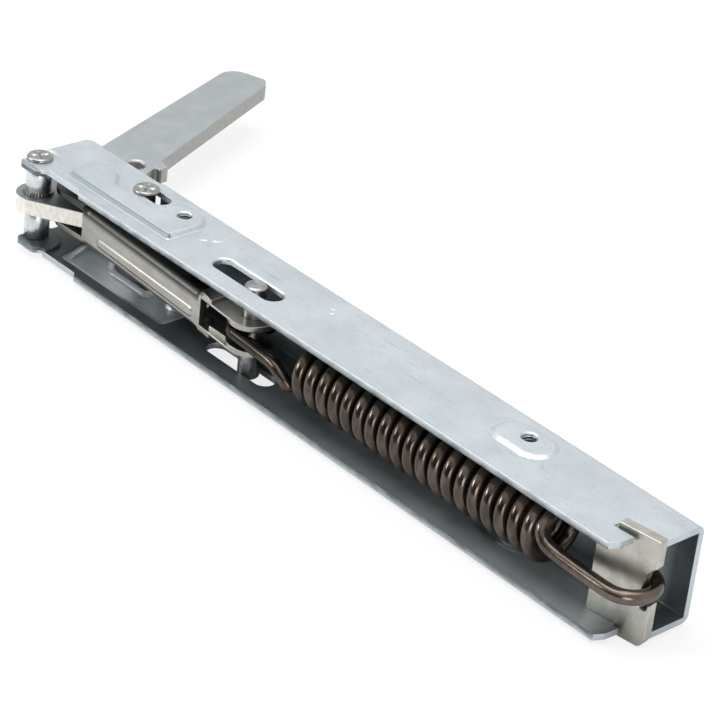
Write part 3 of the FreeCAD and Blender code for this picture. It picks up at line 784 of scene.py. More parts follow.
@dataclass
class EasedPart(Piece):
    """A node's own shape with its edges eased as shearing and forming leave them."""

    edge_mm: float = 0.16
    widest_mm: float = 0.16
    segments: int = 2
    least_fold: float = 28.0
    flat_fold: float = 0.4
    sharp_fold: float = 38.0
    flat_weight: int = 60

    def stamps(self) -> List[SoftStamp]:
        """Soft forms that are pressed into the piece's skins."""
        return []

    def merged(self) -> bmesh.types.BMesh:
        """Merge the node's triangles into closed flat faces.

        Returns:
            The merged shape.
        """
        shape = bmesh.new()
        shape.from_mesh(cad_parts[self.node].data)
        bmesh.ops.remove_doubles(shape, verts=shape.verts, dist=1e-6)
        bmesh.ops.dissolve_limit(shape, angle_limit=math.radians(self.flat_fold),
                                 verts=shape.verts, edges=shape.edges)
        return shape

    def edge_width(self, edge: bmesh.types.BMEdge) -> float:
        """Width in millimetres by which an edge is eased."""
        fold = math.degrees(edge.calc_face_angle_signed(0.0))
        return self.edge_mm if fold > self.least_fold else 0.0

    def build(self) -> bpy.types.Object:
        """Build the eased shape and put it in place.

        Returns:
            The piece's object.
        """
        shape = self.merged()
        mark = shape.faces.layers.int.new("pressed")
        for stamp in self.stamps():
            stamp.press(shape, mark)
        shape.normal_update()
        weights = shape.edges.layers.float.new("bevel_weight_edge")
        for edge in shape.edges:
            if len(edge.link_faces) == 2 and not all(face[mark] for face in edge.link_faces):
                edge[weights] = self.edge_width(edge) / self.widest_mm
        mesh = bpy.data.meshes.new(self.name)
        shape.to_mesh(mesh)
        shape.free()
        blank = placed(self.name + "_blank", mesh)
        ease = blank.modifiers.new("ease", "BEVEL")
        ease.limit_method = "WEIGHT"
        ease.width = self.widest_mm * MM
        ease.segments = self.segments
        ease.use_clamp_overlap = False
        return self.install(self.smoothed(evaluated(blank)))

    def smoothed(self, mesh: bpy.types.Mesh) -> bpy.types.Mesh:
        """Shade round parts smooth and keep large faces flat.

        Args:
            mesh: the eased mesh.

        Returns:
            The mesh with its final normals.
        """
        shade_smooth(mesh, self.sharp_fold)
        carrier = placed(self.name + "_normals", mesh)
        weigh = carrier.modifiers.new("weigh", "WEIGHTED_NORMAL")
        weigh.keep_sharp = True
        weigh.weight = self.flat_weight
        return evaluated(carrier)


@dataclass
class FoldedCase(EasedPart):
    """The folded case: soft pressed pads, a coined slot rim and staking marks."""

    edge_mm: float = 0.13
    widest_mm: float = 0.55
    segments: int = 3
    outer_mm: float = 11.4
    inner_mm: float = 9.9
    coined_slot: Tuple[float, float, float, float] = (60.0, 85.0, 0.0, 7.2)
    coined_mm: float = 0.55
    least_coined_fold: float = 20.0
    stake_at: Pair = (54.2, 7.4)
    stake_reach: Pair = (2.5, 0.75)
    stake_depth: float = 0.22
    dents: Outline = ((92.6, 10.6), (94.0, 9.0))
    dent_reach: Pair = (0.6, 0.35)
    dent_depth: float = 0.15
    screw_holes: Outline = ((42.7, 9.2), (155.2, 9.2))
    pad_run_outer: float = 1.0
    pad_run_inner: float = 2.0
    boss_run: float = 2.3
    pad_outline: Outline = (
        (11.7, 0.0), (48.2, 0.0), (48.4, 0.3), (48.4, 8.1), (48.2, 9.4), (47.6, 10.6),
        (46.7, 11.7), (45.2, 12.6), (43.6, 12.9), (40.7, 12.9), (39.3, 12.6), (38.1, 11.9),
        (37.2, 10.9), (36.7, 9.8), (36.4, 7.6), (36.1, 6.7), (35.5, 6.0), (34.7, 5.5),
        (33.8, 5.4), (24.0, 5.4), (22.6, 5.6), (21.2, 6.2), (18.6, 8.5), (17.8, 9.0),
        (16.9, 9.2), (11.5, 9.2), (10.4, 8.8), (9.8, 8.3), (9.5, 7.2), (9.6, 6.6), (10.7, 3.4))
    boss_centre: Pair = (155.2, 8.2)
    boss_half: Pair = (7.7, 4.9)
    boss_corners: int = 48

    def boss_outline(self) -> Outline:
        """Draw the boss's outline: a slot shape with full round ends.

        Returns:
            The outline's corners.
        """
        spots = []
        reach = self.boss_half[0] - self.boss_half[1]
        for step in range(self.boss_corners):
            angle = 2 * math.pi * (step + 0.5) / self.boss_corners
            shift = math.copysign(reach, math.cos(angle))
            spots.append((self.boss_centre[0] + shift + self.boss_half[1] * math.cos(angle),
                          self.boss_centre[1] + self.boss_half[1] * math.sin(angle)))
        return tuple(spots)

    def stamps(self) -> List[SoftStamp]:
        """List the pad and the boss in both skins of both flanges, and the marks on top.

        Returns:
            The forms in the order in which they are pressed.
        """
        forms = []
        for sign in (1, -1):
            for level, side, pad_run in ((self.outer_mm, sign, self.pad_run_outer),
                                         (self.inner_mm, -sign, self.pad_run_inner)):
                for outline, run in ((self.pad_outline, pad_run),
                                     (self.boss_outline(), self.boss_run)):
                    forms.append(SoftStamp(outline, sign * level, run=run, sign=sign, side=side,
                                           holes=self.screw_holes))
        forms.append(SoftStamp(self.star(self.stake_at, self.stake_reach, 8), self.outer_mm,
                               height=-self.stake_depth, run=1.1, step=0.2))
        for dent in self.dents:
            forms.append(SoftStamp(self.star(dent, self.dent_reach, 4), self.outer_mm,
                                   height=-self.dent_depth, run=0.6, step=0.2))
        return forms

    def star(self, centre: Pair, reach: Pair, corners: int) -> Outline:
        """Draw an outline whose corners lie at two distances by turns.

        Args:
            centre: middle of the mark, in millimetres.
            reach: distances of the far corners and of the near ones.
            corners: number of corners.

        Returns:
            The outline's corners.
        """
        spots = []
        for corner in range(corners):
            angle = math.pi / 4 + 2 * math.pi * corner / corners
            away = reach[corner % 2]
            spots.append((centre[0] + away * math.cos(angle), centre[1] + away * math.sin(angle)))
        return tuple(spots)

    def edge_width(self, edge: bmesh.types.BMEdge) -> float:
        """Find how far an edge is eased; the long slot's upper rim is coined.

        Args:
            edge: the edge.

        Returns:
            The width in millimetres.
        """
        fold = math.degrees(edge.calc_face_angle_signed(0.0))
        if abs(fold) < self.least_coined_fold:
            return 0.0
        middle = (edge.verts[0].co + edge.verts[1].co) / 2 / MM
        foot = all(abs(abs(vert.co.z / MM) - self.outer_mm) < 0.02 for vert in edge.verts)
        low_x, high_x, low_y, high_y = self.coined_slot
        if foot and middle.z > 0 and low_x < middle.x < high_x and low_y < middle.y < high_y:
            return self.coined_mm
        return self.edge_mm if fold > self.least_fold else 0.0


@dataclass
class FoldedLink(EasedPart):
    """The folded link: its web runs into the ears over real bends."""

    edge_mm: float = 0.13
    widest_mm: float = 0.2
    segments: int = 2
    upper_fold: float = 3.0
    lower_fold: float = 1.3
    half_height_mm: float = 4.75
    fold_steps: Tuple[int, int] = (9, 6)
    web_ends: Pair = (15.5, 62.7)
    end_taper: float = 2.2
    taper_steps: int = 5
    least_radius: float = 0.25
    web_level: float = 2.2538
    web_tilt: float = -0.055085
    rib_height: float = 0.3
    rib_outline: Outline = (
        (23.0, -2.55), (58.6, -2.75), (59.4, -2.6), (60.0, -2.2), (60.2, -1.6), (60.0, -1.0),
        (59.4, -0.6), (58.6, -0.45), (23.0, -0.75), (22.3, -1.0), (22.0, -1.6), (22.3, -2.3))

    def stamps(self) -> List[SoftStamp]:
        """The long rib that stands out of the web's near side."""
        return [SoftStamp(self.rib_outline, self.web_level, height=self.rib_height, run=0.5,
                          step=0.2, across=(0, 2, 1), sign=-1, side=-1, tilt=self.web_tilt)]

    def merged(self) -> bmesh.types.BMesh:
        """Merge the node's triangles and round its two outer folds.

        Returns:
            The shape with its folds.
        """
        shape = super().merged()
        skin = SoftStamp((), self.web_level, height=0.0, across=(0, 2, 1), sign=-1, side=-1,
                         tilt=self.web_tilt)
        low_x, high_x = self.web_ends
        upper, lower = self.fold_steps
        levels = [self.half_height_mm - self.upper_fold * (1 - step / upper)
                  for step in range(upper)]
        levels += [-self.half_height_mm + self.lower_fold * (1 - step / lower)
                   for step in range(lower)]
        tapers = [self.end_taper * (step + 1) / self.taper_steps
                  for step in range(self.taper_steps)]
        places = sorted([low_x + taper for taper in tapers] + [high_x - taper for taper in tapers])
        for axis, lines in ((2, levels), (0, places)):
            web = [face for face in shape.faces if skin.on_skin(face)
                   and low_x < face.calc_center_median().x / MM < high_x]
            skin.cut(shape, web, axis, lines)
        near = 0.02
        for vert in shape.verts:
            spot = vert.co / MM
            if (abs(spot.y - skin.base(spot.x)) < near
                    and low_x - near < spot.x < high_x + near):
                vert.co.y += self.sag(spot.x, spot.z) * MM
        return shape

    def sag(self, along: float, height: float) -> float:
        """Find how far the web's skin turns back at a place near one of its folds.

        Args:
            along: place along the link, in millimetres.
            height: height above the middle plane, in millimetres.

        Returns:
            Distance away from the flat web, in millimetres.
        """
        radius = self.upper_fold if height > 0 else self.lower_fold
        near_end = min(along - self.web_ends[0], self.web_ends[1] - along) / self.end_taper
        ease = min(1.0, max(0.0, near_end))
        radius *= (self.least_radius
                   + (1 - self.least_radius) * math.sin(ease * math.pi / 2))
        over = min(abs(height) - (self.half_height_mm - radius), radius)
        return radius - math.sqrt(radius * radius - over * over) if over > 0 else 0.0


@dataclass
class TurnedPiece(Piece):
    """A round piece about an upright line: rings of a profile, closed at the ends."""

    centre: Pair = (0.0, 0.0)
    sides: int = 64
    sharp_fold: float = 40.0

    def lathe(self, rings: Sequence[Pair],
              relief: Optional[Callable[[float, float, float], float]] = None) -> bpy.types.Mesh:
        """Turn a profile round the piece's line.

        Args:
            rings: radius and height of each ring, from the low end to the high one.
            relief: what to add to a ring's height, from radius, height and angle.

        Returns:
            The closed mesh.
        """
        spots = []
        for radius, height in rings:
            for side in range(self.sides):
                angle = 2 * math.pi * side / self.sides
                lift = relief(radius, height, angle) if relief else 0.0
                spots.append((self.centre[0] + radius * math.cos(angle),
                              self.centre[1] + radius * math.sin(angle), height + lift))
        faces = []
        for ring in range(len(rings) - 1):
            for side in range(self.sides):
                after = (side + 1) % self.sides
                low = ring * self.sides
                high = low + self.sides
                faces.append((low + side, low + after, high + after, high + side))
        faces.append(tuple(reversed(range(self.sides))))
        last = (len(rings) - 1) * self.sides
        faces.append(tuple(last + side for side in range(self.sides)))
        mesh = bpy.data.meshes.new(self.name)
        mesh.from_pydata([tuple(part * MM for part in spot) for spot in spots], [], faces)
        shade_smooth(mesh, self.sharp_fold)
        return mesh


@dataclass
class StakedPin(TurnedPiece):
    """A pin whose ends were staked: low heads with a crushed star in their tops."""

    shank: float = 2.0
    half_length: float = 10.7
    head: float = 3.1
    head_height: float = 0.9
    rays: int = 4
    star_turn: float = 20.0
    ray_depth: float = 0.38
    ray_reach: float = 0.62
    centre_depth: float = 0.3
    centre_reach: float = 0.22
    ring_depth: float = 0.08
    ring_reach: float = 0.72
    top_shares: Tuple[float, ...] = (0.84, 0.78, 0.72, 0.66, 0.6, 0.54, 0.46, 0.38, 0.3, 0.22,
                                     0.14, 0.06)

    def build(self) -> bpy.types.Object:
        """Build the pin with both heads.

        Returns:
            The pin's object.
        """
        top = self.half_length + self.head_height
        half = [(self.shank, 0.0), (self.shank, self.half_length),
                (self.head - 0.12, self.half_length), (self.head, self.half_length + 0.14),
                (self.head, top - 0.42), (self.head - 0.1, top - 0.2),
                (self.head - 0.3, top - 0.05)]
        half += [(self.head * share, top) for share in self.top_shares]
        low = [(radius, -height) for radius, height in reversed(half[1:])]
        return self.install(self.lathe(low + half, self.star))

    def star(self, radius: float, height: float, angle: float) -> float:
        """Find how deep the staking punch went into a head's top.

        Args:
            radius: distance from the pin's line.
            height: height of the ring.
            angle: place round the ring, in radians.

        Returns:
            How far the surface is pressed in, signed along Z.
        """
        top = self.half_length + self.head_height
        if abs(height) < top - 0.01:
            return 0.0
        share = radius / self.head
        ray = abs(math.cos(self.rays * (angle + math.radians(self.star_turn)) / 2)) ** 10
        reach = 1 / (1 + math.exp((share - self.ray_reach) / 0.045))
        centre = math.exp(-(share / self.centre_reach) ** 2)
        press = self.ray_depth * ray * reach * min(1.0, share / 0.2) + self.centre_depth * centre
        press += self.ring_depth * math.exp(-((share - self.ring_reach) / 0.06) ** 2)
        return -math.copysign(press, height)


@dataclass
class FlatPin(TurnedPiece):
    """A ground pin with chamfered ends and a shallow centre mark."""

    radius: float = 2.5
    half_length: float = 11.4
    chamfer: float = 0.45

    def build(self) -> bpy.types.Object:
        """Build the pin.

        Returns:
            The pin's object.
        """
        top = self.half_length
        half = [(self.radius, 0.0), (self.radius, top - self.chamfer),
                (self.radius - self.chamfer * 0.8, top - 0.04), (self.radius - self.chamfer, top),
                (1.3, top), (1.2, top - 0.05), (0.9, top - 0.05), (0.8, top), (0.4, top),
                (0.1, top - 0.14)]
        low = [(radius, -height) for radius, height in reversed(half[1:])]
        return self.install(self.lathe(low + half))


@dataclass
class SpacerTube(TurnedPiece):
    """A drawn tube between the arm and an ear, its ends a little eased."""

    low: float = 2.05
    high: float = 9.2
    outside: float = 3.0
    inside: float = 2.05
    ease: float = 0.16
    sharp_fold: float = 50.0

    def build(self) -> bpy.types.Object:
        """Build the tube as a closed ring wall.

        Returns:
            The tube's object.
        """
        ease = self.ease
        wall = [(self.inside, self.low), (self.outside - ease, self.low),
                (self.outside, self.low + ease), (self.outside, self.high - ease),
                (self.outside - ease, self.high), (self.inside, self.high)]
        mesh = self.lathe(wall)
        shape = bmesh.new()
        shape.from_mesh(mesh)
        caps = [face for face in shape.faces if len(face.verts) > 4]
        bmesh.ops.delete(shape, geom=caps, context="FACES_ONLY")
        shape.verts.ensure_lookup_table()
        last = (len(wall) - 1) * self.sides
        for side in range(self.sides):
            after = (side + 1) % self.sides
            shape.faces.new([shape.verts[side + last], shape.verts[after + last],
                             shape.verts[after], shape.verts[side]])
        bmesh.ops.recalc_face_normals(shape, faces=shape.faces)
        shape.to_mesh(mesh)
        shape.free()
        shade_smooth(mesh, self.sharp_fold)
        return self.install(mesh)


class ShapeTree(NodeSheet):
    """A geometry node tree with named inputs that ends in real, coated geometry."""

    KINDS = {"geometry": "NodeSocketGeometry", "float": "NodeSocketFloat", "int": "NodeSocketInt",
             "vector": "NodeSocketVector", "material": "NodeSocketMaterial"}

    def __init__(self, name: str, inputs: Dict[str, str]) -> None:
        """Start a tree.

        Args:
            name: name of the tree.
            inputs: each input's name and kind.
        """
        super().__init__(bpy.data.node_groups.new(name, "GeometryNodeTree"))
        face = self.tree.interface
        for label, kind in inputs.items():
            face.new_socket(label, in_out="INPUT", socket_type=self.KINDS[kind])
        face.new_socket("Geometry", in_out="OUTPUT", socket_type=self.KINDS["geometry"])
        self.source = self.add("NodeGroupInput")

    def close(self, shape: Socket, smooth: bool = True) -> None:
        """End the tree in realised, coated geometry.

        Args:
            shape: the geometry so far.
            smooth: whether its faces are shaded smooth.
        """
        last = self.add("GeometryNodeRealizeInstances", Geometry=shape)
        if smooth:
            last = self.add("GeometryNodeSetShadeSmooth", Geometry=(last, "Geometry"))
        coat = self.add("GeometryNodeSetMaterial", Geometry=(last, "Geometry"),
                        Material=(self.source, "Finish"))
        self.add("NodeGroupOutput", Geometry=(coat, "Geometry"))

    def run(self, carrier: bpy.types.Object, values: Dict[str, object]) -> bpy.types.Mesh:
        """Evaluate the tree on an object and return a plain mesh.

        Args:
            carrier: object whose geometry the tree reads; it is removed.
            values: each named input's value.

        Returns:
            The finished mesh.
        """
        modifier = carrier.modifiers.new("nodes", "NODES")
        modifier.node_group = self.tree
        names = {item.name: item.identifier for item in self.tree.interface.items_tree
                 if item.item_type == "SOCKET" and item.in_out == "INPUT"}
        for label, number in values.items():
            modifier[names[label]] = number
        return evaluated(carrier)


def seats(name: str, spots: Sequence[Point]) -> bpy.types.Object:
    """Make an object of loose points for a tree to work on.

    Args:
        name: the object's name.
        spots: the points, in millimetres.

    Returns:
        The object.
    """
    mesh = bpy.data.meshes.new(name)
    mesh.from_pydata([tuple(part * MM for part in spot) for spot in spots], [], [])
    return placed(name, mesh)


@dataclass
class ScrewThreads:
    """M4 thread turns inside the case's four screw holes."""

    places: Outline = ((42.7, 9.2), (155.2, 9.2))
    bore: float = 1.65
    pitch: float = 0.7
    ridge: float = 0.27
    low: float = 9.0
    high: float = 12.0

    def build(self) -> bpy.types.Object:
        """Build the turns at every hole, above and below.

        Returns:
            The object that holds all four threads.
        """
        kit = ShapeTree("thread_turns", {
            "Places": "geometry", "Turns": "float", "Radius": "float", "Height": "float",
            "Ridge": "float", "Finish": "material"})
        source = kit.source
        helix = kit.add("GeometryNodeCurveSpiral", Resolution=28, Rotations=(source, "Turns"),
                        Start_Radius=(source, "Radius"), End_Radius=(source, "Radius"),
                        Height=(source, "Height"))
        section = kit.add("GeometryNodeCurvePrimitiveCircle", Resolution=4,
                          Radius=(source, "Ridge"))
        ridge = kit.add("GeometryNodeCurveToMesh", Curve=(helix, "Curve"),
                        Profile_Curve=(section, "Curve"), Fill_Caps=True)
        turned = kit.add("GeometryNodeInstanceOnPoints", Points=(source, "Places"),
                         Instance=(ridge, "Mesh"))
        kit.close((turned, "Instances"), smooth=False)
        height = self.high - self.low
        turns = kit.run(
            seats("thread_places", [(*place, low) for place in self.places
                                    for low in (self.low, -self.high)]),
            {"Turns": height / self.pitch, "Radius": self.bore * MM, "Height": height * MM,
             "Ridge": self.ridge * MM, "Finish": Finish.TURNED.material()})
        piece = placed("screw_threads", turns)
        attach(piece, "case")
        LOG.info("screw_threads: %d faces", len(turns.polygons))
        return piece


@dataclass
class SpacerSerration:
    """Ring of pressed teeth round the foot of the upper spacer."""

    count: int = 30
    radius: float = 3.3
    level: float = 2.4
    tooth: Point = (0.7, 0.36, 0.7)

    def build(self) -> bpy.types.Object:
        """Build the ring of teeth, each turned to face outwards.

        Returns:
            The ring's object.
        """
        kit = ShapeTree("pressed_teeth", {
            "Seat": "geometry", "Count": "int", "Radius": "float", "Tooth": "vector",
            "Level": "float", "Finish": "material"})
        source = kit.source
        ring = kit.add("GeometryNodeMeshCircle", Vertices=(source, "Count"),
                       Radius=(source, "Radius"))
        tooth = kit.add("GeometryNodeMeshCube", Size=(source, "Tooth"))
        index = kit.add("GeometryNodeInputIndex")
        share = kit.add("ShaderNodeMath", {"operation": "DIVIDE"}, (index, 0), (source, "Count"))
        turn = kit.add("ShaderNodeMath", {"operation": "MULTIPLY"}, (share, 0), 2 * math.pi)
        turned = kit.add("ShaderNodeCombineXYZ", Z=(turn, "Value"))
        spread = kit.add("GeometryNodeInstanceOnPoints", Points=(ring, "Mesh"),
                         Instance=(tooth, "Mesh"), Rotation=(turned, "Vector"))
        lift = kit.add("ShaderNodeCombineXYZ", Z=(source, "Level"))
        raised = kit.add("GeometryNodeTransform", Geometry=(spread, "Instances"),
                         Translation=(lift, "Vector"))
        kit.close((raised, "Geometry"), smooth=False)
        teeth = kit.run(seats("teeth_seat", [(0, 0, 0)]), {
            "Count": self.count, "Radius": self.radius * MM, "Level": self.level * MM,
            "Tooth": tuple(side * MM for side in self.tooth), "Finish": Finish.ANCHOR.material()})
        piece = placed("spacer_serration", teeth)
        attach(piece, "case")
        LOG.info("spacer_serration: %d faces", len(teeth.polygons))
        return piece


@dataclass
class WoundSpring:
    """The tension spring: a right-handed coil with a wire hook at each end."""

    coil_start: float = 94.0
    pitch: float = 3.93
    first_turn: float = 0.3
    last_turn: float = 19.86
    closing: float = 0.75
    closing_turns: float = 0.7
    axis_y: float = 3.6
    coil_radius: float = 5.65
    wire_radius: float = 1.575
    hook_x: float = 75.2
    hook_radius: float = 4.3
    hook_from: float = 72.0
    tail_x: float = 190.9
    tail_radius: float = 5.7
    tail_from: float = -88.0
    bend_sweep: float = 200.0
    bend_steps: int = 14
    steps_per_turn: int = 44
    sides: int = 24

    def centre_line(self) -> List[Vector]:
        """List the points of the wire's centre line, hook to tail, in millimetres.

        Returns:
            The points in order.
        """
        near = self.axis_y - self.coil_radius
        leg = [Vector(spot) for spot in (
            (79.5, near + 1.1, 0.0), (84.0, near + 0.7, 0.0), (88.0, near + 0.42, -0.02),
            (90.4, near + 0.22, -0.5), (92.3, near + 0.3, -1.8), (93.7, near + 0.95, -3.25))]
        bend = [Vector(spot) for spot in (
            (171.35, near + 1.0, 3.25), (172.15, near + 0.35, 2.1), (173.6, near + 0.05, 1.05),
            (176.4, near + 0.0, 0.42), (180.8, near - 0.02, 0.15), (185.6, near - 0.05, 0.0))]
        hook = self.bend_points(self.hook_x, self.hook_radius, self.hook_from)
        tail = self.bend_points(self.tail_x, self.tail_radius, self.tail_from)
        coil = self.coil_points()
        return self.rounded(hook + leg) + coil + self.rounded([coil[-1]] + bend + tail)[1:]

    def coil_points(self) -> List[Vector]:
        """Wind the turns; the last one closes up on its neighbour.

        Returns:
            The points of the coil in order.
        """
        points = []
        count = int((self.last_turn - self.first_turn) * self.steps_per_turn)
        for step in range(count + 1):
            turn = self.first_turn + step / self.steps_per_turn
            angle = math.pi + 2 * math.pi * turn
            late = max(0.0, turn - (self.last_turn - self.closing_turns)) / self.closing_turns
            points.append(Vector((
                self.coil_start + self.pitch * turn - self.closing * late * late * (3 - 2 * late),
                self.axis_y + self.coil_radius * math.cos(angle),
                self.coil_radius * math.sin(angle))))
        return points

    def bend_points(self, centre_x: float, radius: float, start: float) -> List[Vector]:
        """Bend the wire round a pin or an edge.

        Args:
            centre_x: where the bend's middle lies along the case.
            radius: the bend's radius to the wire's middle.
            start: angle at which the bend starts, in degrees.

        Returns:
            The bend's points.
        """
        points = []
        for step in range(self.bend_steps + 1):
            angle = math.radians(start + self.bend_sweep * step / self.bend_steps)
            points.append(Vector((centre_x + radius * math.cos(angle),
                                  self.axis_y + radius * math.sin(angle), 0)))
        return points

    def rounded(self, spots: Sequence[Vector], steps: int = 6) -> List[Vector]:
        """Lay a smooth curve through a row of points.

        Args:
            spots: points that the curve passes.
            steps: points of the curve for each gap.

        Returns:
            The curve's points.
        """
        line = []
        for index in range(len(spots) - 1):
            four = (spots[max(index - 1, 0)], spots[index], spots[index + 1],
                    spots[min(index + 2, len(spots) - 1)])
            for step in range(steps):
                line.append(self.between(four, step / steps))
        line.append(spots[-1])
        return line

    def between(self, four: Sequence[Vector], share: float) -> Vector:
        """Find a point of a centripetal curve between the middle two of four points.

        Args:
            four: the points.
            share: how far the place lies from the second point to the third.

        Returns:
            The point.
        """
        knots = [0.0]
        for first, second in zip(four, four[1:]):
            knots.append(knots[-1] + max((second - first).length, 1e-4) ** 0.5)
        place = knots[1] + (knots[2] - knots[1]) * share
        level = list(four)
        for spans in (((0, 1), (1, 2), (2, 3)), ((0, 2), (1, 3)), ((1, 2),)):
            merged = []
            for index, (low, high) in enumerate(spans):
                weight = (place - knots[low]) / (knots[high] - knots[low])
                merged.append(level[index] * (1 - weight) + level[index + 1] * weight)
            level = merged
        return level[0]

    def build(self) -> bpy.types.Object:
        """Build the wire as one mesh and put it in place of its node.

        Returns:
            The spring's object.
        """
        curve = bpy.data.curves.new("wire_line", "CURVE")
        curve.dimensions = "3D"
        spline = curve.splines.new("POLY")
        line = self.centre_line()
        spline.points.add(len(line) - 1)
        for point, spot in zip(spline.points, line):
            point.co = (*(spot * MM), 1.0)
        kit = ShapeTree("round_wire", {"Centre Line": "geometry", "Wire Radius": "float",
                                       "Sides": "int", "Finish": "material"})
        circle = kit.add("GeometryNodeCurvePrimitiveCircle", Radius=(kit.source, "Wire Radius"),
                         Resolution=(kit.source, "Sides"))
        sweep = kit.add("GeometryNodeCurveToMesh", Curve=(kit.source, "Centre Line"),
                        Profile_Curve=(circle, "Curve"), Fill_Caps=True)
        kit.close((sweep, "Mesh"))
        mesh = kit.run(placed("wire_guide", curve), {
            "Wire Radius": self.wire_radius * MM, "Sides": self.sides,
            "Finish": Finish.WIRE.material()})
        spring = placed("wound_spring", mesh)
        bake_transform(spring)
        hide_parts("tension_spring")
        LOG.info("wound_spring: %d faces", len(mesh.polygons))
        return spring


@dataclass(frozen=True)
class SoftBox:
    """A rectangular lamp: place in metres, turn in degrees, size in metres, power in watts."""

    name: str
    place: Point
    turn: Point
    size: Pair
    watts: float

    def build(self) -> None:
        """Hang the lamp."""
        light = bpy.data.lights.new(self.name, "AREA")
        light.shape = "RECTANGLE"
        light.size, light.size_y = self.size
        light.energy = self.watts
        lamp = placed(self.name, light)
        lamp.location = self.place
        lamp.rotation_euler = [math.radians(part) for part in self.turn]


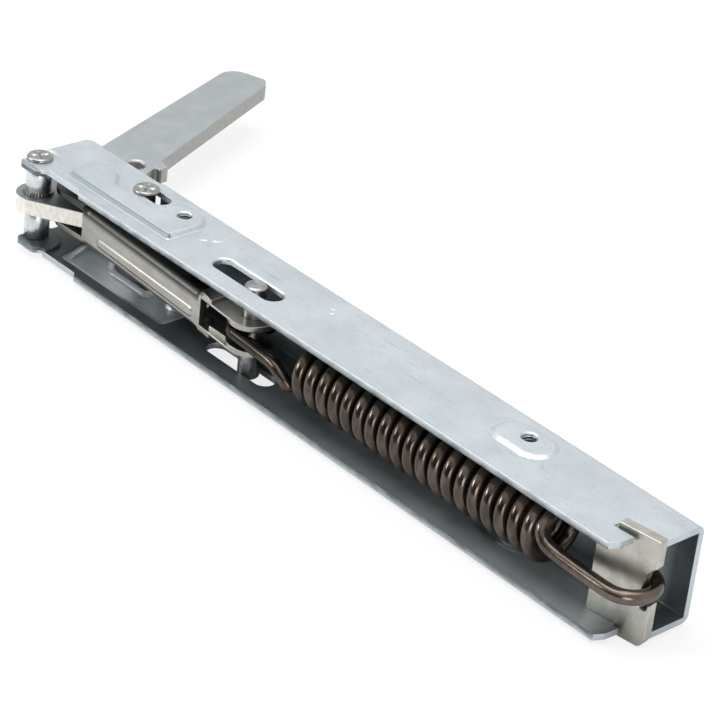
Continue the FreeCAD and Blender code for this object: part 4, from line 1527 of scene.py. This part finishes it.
@dataclass
class Studio:
    """Floor, soft light and the camera at the photograph's viewpoint."""

    floor_z: float = -12.4 * MM
    floor_reach: float = 6.0
    floor_tone: float = 0.86
    floor_white: float = 0.8      # share of pure white that the camera sees on the floor
    around_tone: Colour = (0.96, 0.98, 1.0, 1.0)
    around_level: float = 0.55
    flag_place: Point = (0.1, -0.62, 0.16)
    flag_half: Pair = (0.8, 0.25)
    flag_tone: float = 0.02
    lens_mm: float = 144.588
    sensor_mm: float = 36.0
    camera_place: Point = (0.489283, -0.366270, 0.305378)
    camera_turn: Point = (60.66272, -5.75946, 48.95341)
    lamps: Tuple[SoftBox, ...] = (
        SoftBox("overhead_box", (0.0, -0.1, 0.9), (0, 0, 0), (0.9, 0.9), 9.0),
        SoftBox("front_strip", (-0.35, -0.5, 0.25), (70, 0, -35), (0.3, 0.14), 2.2),
        SoftBox("end_card", (0.42, -0.22, 0.06), (82, 0, 48), (0.12, 0.12), 0.35))

    def build(self) -> None:
        """Build the stage, the lamps, the world and the camera."""
        self.build_floor()
        self.build_world()
        self.build_flag()
        for lamp in self.lamps:
            lamp.build()
        self.build_camera()

    def sheet(self, name: str, corners: Sequence[Point], tree: FinishTree) -> bpy.types.Object:
        """Put up a flat sheet that is not part of the object.

        Args:
            name: the sheet's name.
            corners: its four corners, in metres.
            tree: its material.

        Returns:
            The sheet's object.
        """
        mesh = bpy.data.meshes.new(name)
        mesh.from_pydata(corners, [], [(0, 1, 2, 3)])
        mesh.materials.append(tree.material)
        stand = placed(name, mesh)
        return stand

    def build_floor(self) -> None:
        """Lay a pale floor that shows nearly white to the camera and keeps the shadow."""
        tree = FinishTree("pale_floor")
        tree.feed(tree.shader, "Base_Color", (*[self.floor_tone] * 3, 1.0))
        tree.feed(tree.shader, "Roughness", 0.8)
        path = tree.add("ShaderNodeLightPath")
        white = tree.add("ShaderNodeEmission", Strength=1.0)
        share = tree.add("ShaderNodeMath", {"operation": "MULTIPLY"}, (path, "Is_Camera_Ray"),
                         self.floor_white)
        mix = tree.add("ShaderNodeMixShader", None, (share, "Value"), (tree.shader, "BSDF"),
                       (white, "Emission"))
        tree.feed(tree.output, "Surface", (mix, "Shader"))
        reach = self.floor_reach
        self.sheet("floor", [(x, y, self.floor_z) for x, y in (
            (-reach, -reach), (reach, -reach), (reach, reach), (-reach, reach))], tree)

    def build_world(self) -> None:
        """Surround the object with even pale light, white where it is seen or mirrored."""
        world = bpy.data.worlds.new("studio")
        bpy.context.scene.world = world
        world.use_nodes = True
        world.node_tree.nodes.clear()
        sheet = NodeSheet(world.node_tree)
        seen = sheet.add("ShaderNodeBackground", Strength=1.0, Color=(1.0, 1.0, 1.0, 1.0))
        around = sheet.add("ShaderNodeBackground", Strength=self.around_level,
                           Color=self.around_tone)
        path = sheet.add("ShaderNodeLightPath")
        white = (path, "Is_Camera_Ray")
        for ray in ("Is_Glossy_Ray", "Is_Transmission_Ray"):
            white = (sheet.add("ShaderNodeMath", {"operation": "MAXIMUM"}, white, (path, ray)),
                     "Value")
        mix = sheet.add("ShaderNodeMixShader", None, white, (around, "Background"),
                        (seen, "Background"))
        sheet.add("ShaderNodeOutputWorld", Surface=(mix, "Shader"))

    def build_flag(self) -> None:
        """Stand a dark card upright in front, which darkens what the metal mirrors."""
        tree = FinishTree("flag_front_cloth")
        tree.feed(tree.shader, "Base_Color", (*[self.flag_tone] * 3, 1.0))
        tree.feed(tree.shader, "Roughness", 1.0)
        middle_x, middle_y, middle_z = self.flag_place
        half_x, half_z = self.flag_half
        card = self.sheet("flag_front", [
            (middle_x + x * half_x, middle_y, middle_z + z * half_z)
            for x, z in ((-1, -1), (1, -1), (1, 1), (-1, 1))], tree)
        card.visible_camera = False

    def build_camera(self) -> None:
        """Set the camera up at the photograph's viewpoint."""
        data = bpy.data.cameras.new("camera")
        data.sensor_width = self.sensor_mm
        data.lens = self.lens_mm
        data.clip_start = 0.01
        camera = placed("camera", data)
        camera.location = self.camera_place
        camera.rotation_euler = Euler([math.radians(part) for part in self.camera_turn], "XYZ")
        bpy.context.scene.camera = camera


def build_hinge() -> None:
    """Build every piece of the hinge and report it."""
    FoldedCase("folded_case", "case", "case", "zinc_plate", Finish.ZINC).build()
    EasedPart("arm_plate", "arm", "arm", "arm_steel", Finish.ARM, edge_mm=0.22,
              widest_mm=0.22).build()
    FoldedLink("folded_link", "traction_link", "traction_link", "link_nickel",
               Finish.LINK).build()
    EasedPart("hook_plate", "anchor_plate", "case", "anchor_steel", Finish.ANCHOR,
              edge_mm=0.25, widest_mm=0.25).build()
    StakedPin("pivot_pin_staked", "pivot_pin", "case", "pin_steel", Finish.TURNED).build()
    StakedPin("link_pin_staked", "link_pin", "traction_link", "link_pin_steel", Finish.TURNED,
              centre=(6.9, 6.9), half_length=4.75, head=2.9, head_height=0.8).build()
    StakedPin("slot_pin_staked", "slot_pin", "slot_pin", "slot_pin_steel", Finish.TURNED,
              centre=(27.0, 10.5), shank=2.2, half_length=11.45, head_height=0.8,
              star_turn=55.0).build()
    FlatPin("traction_pin_ground", "traction_pin", "traction_pin", "traction_pin_steel",
            Finish.TURNED, centre=(75.2, 3.6)).build()
    SpacerTube("spacer_upper", "upper_spacer", "case", "spacer_steel", Finish.TUBE).build()
    SpacerTube("spacer_lower", "lower_spacer", "case", "spacer_steel_low", Finish.TUBE,
               low=-9.2, high=-2.05).build()
    SpacerSerration().build()
    ScrewThreads().build()
    WoundSpring().build()


def main() -> None:
    """Dress the hinge and set up the studio."""
    logging.basicConfig(level=logging.INFO)
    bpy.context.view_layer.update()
    build_hinge()
    Studio().build()
    bpy.context.scene.view_settings.view_transform = "Standard"


if __name__ == "__main__":
    main()
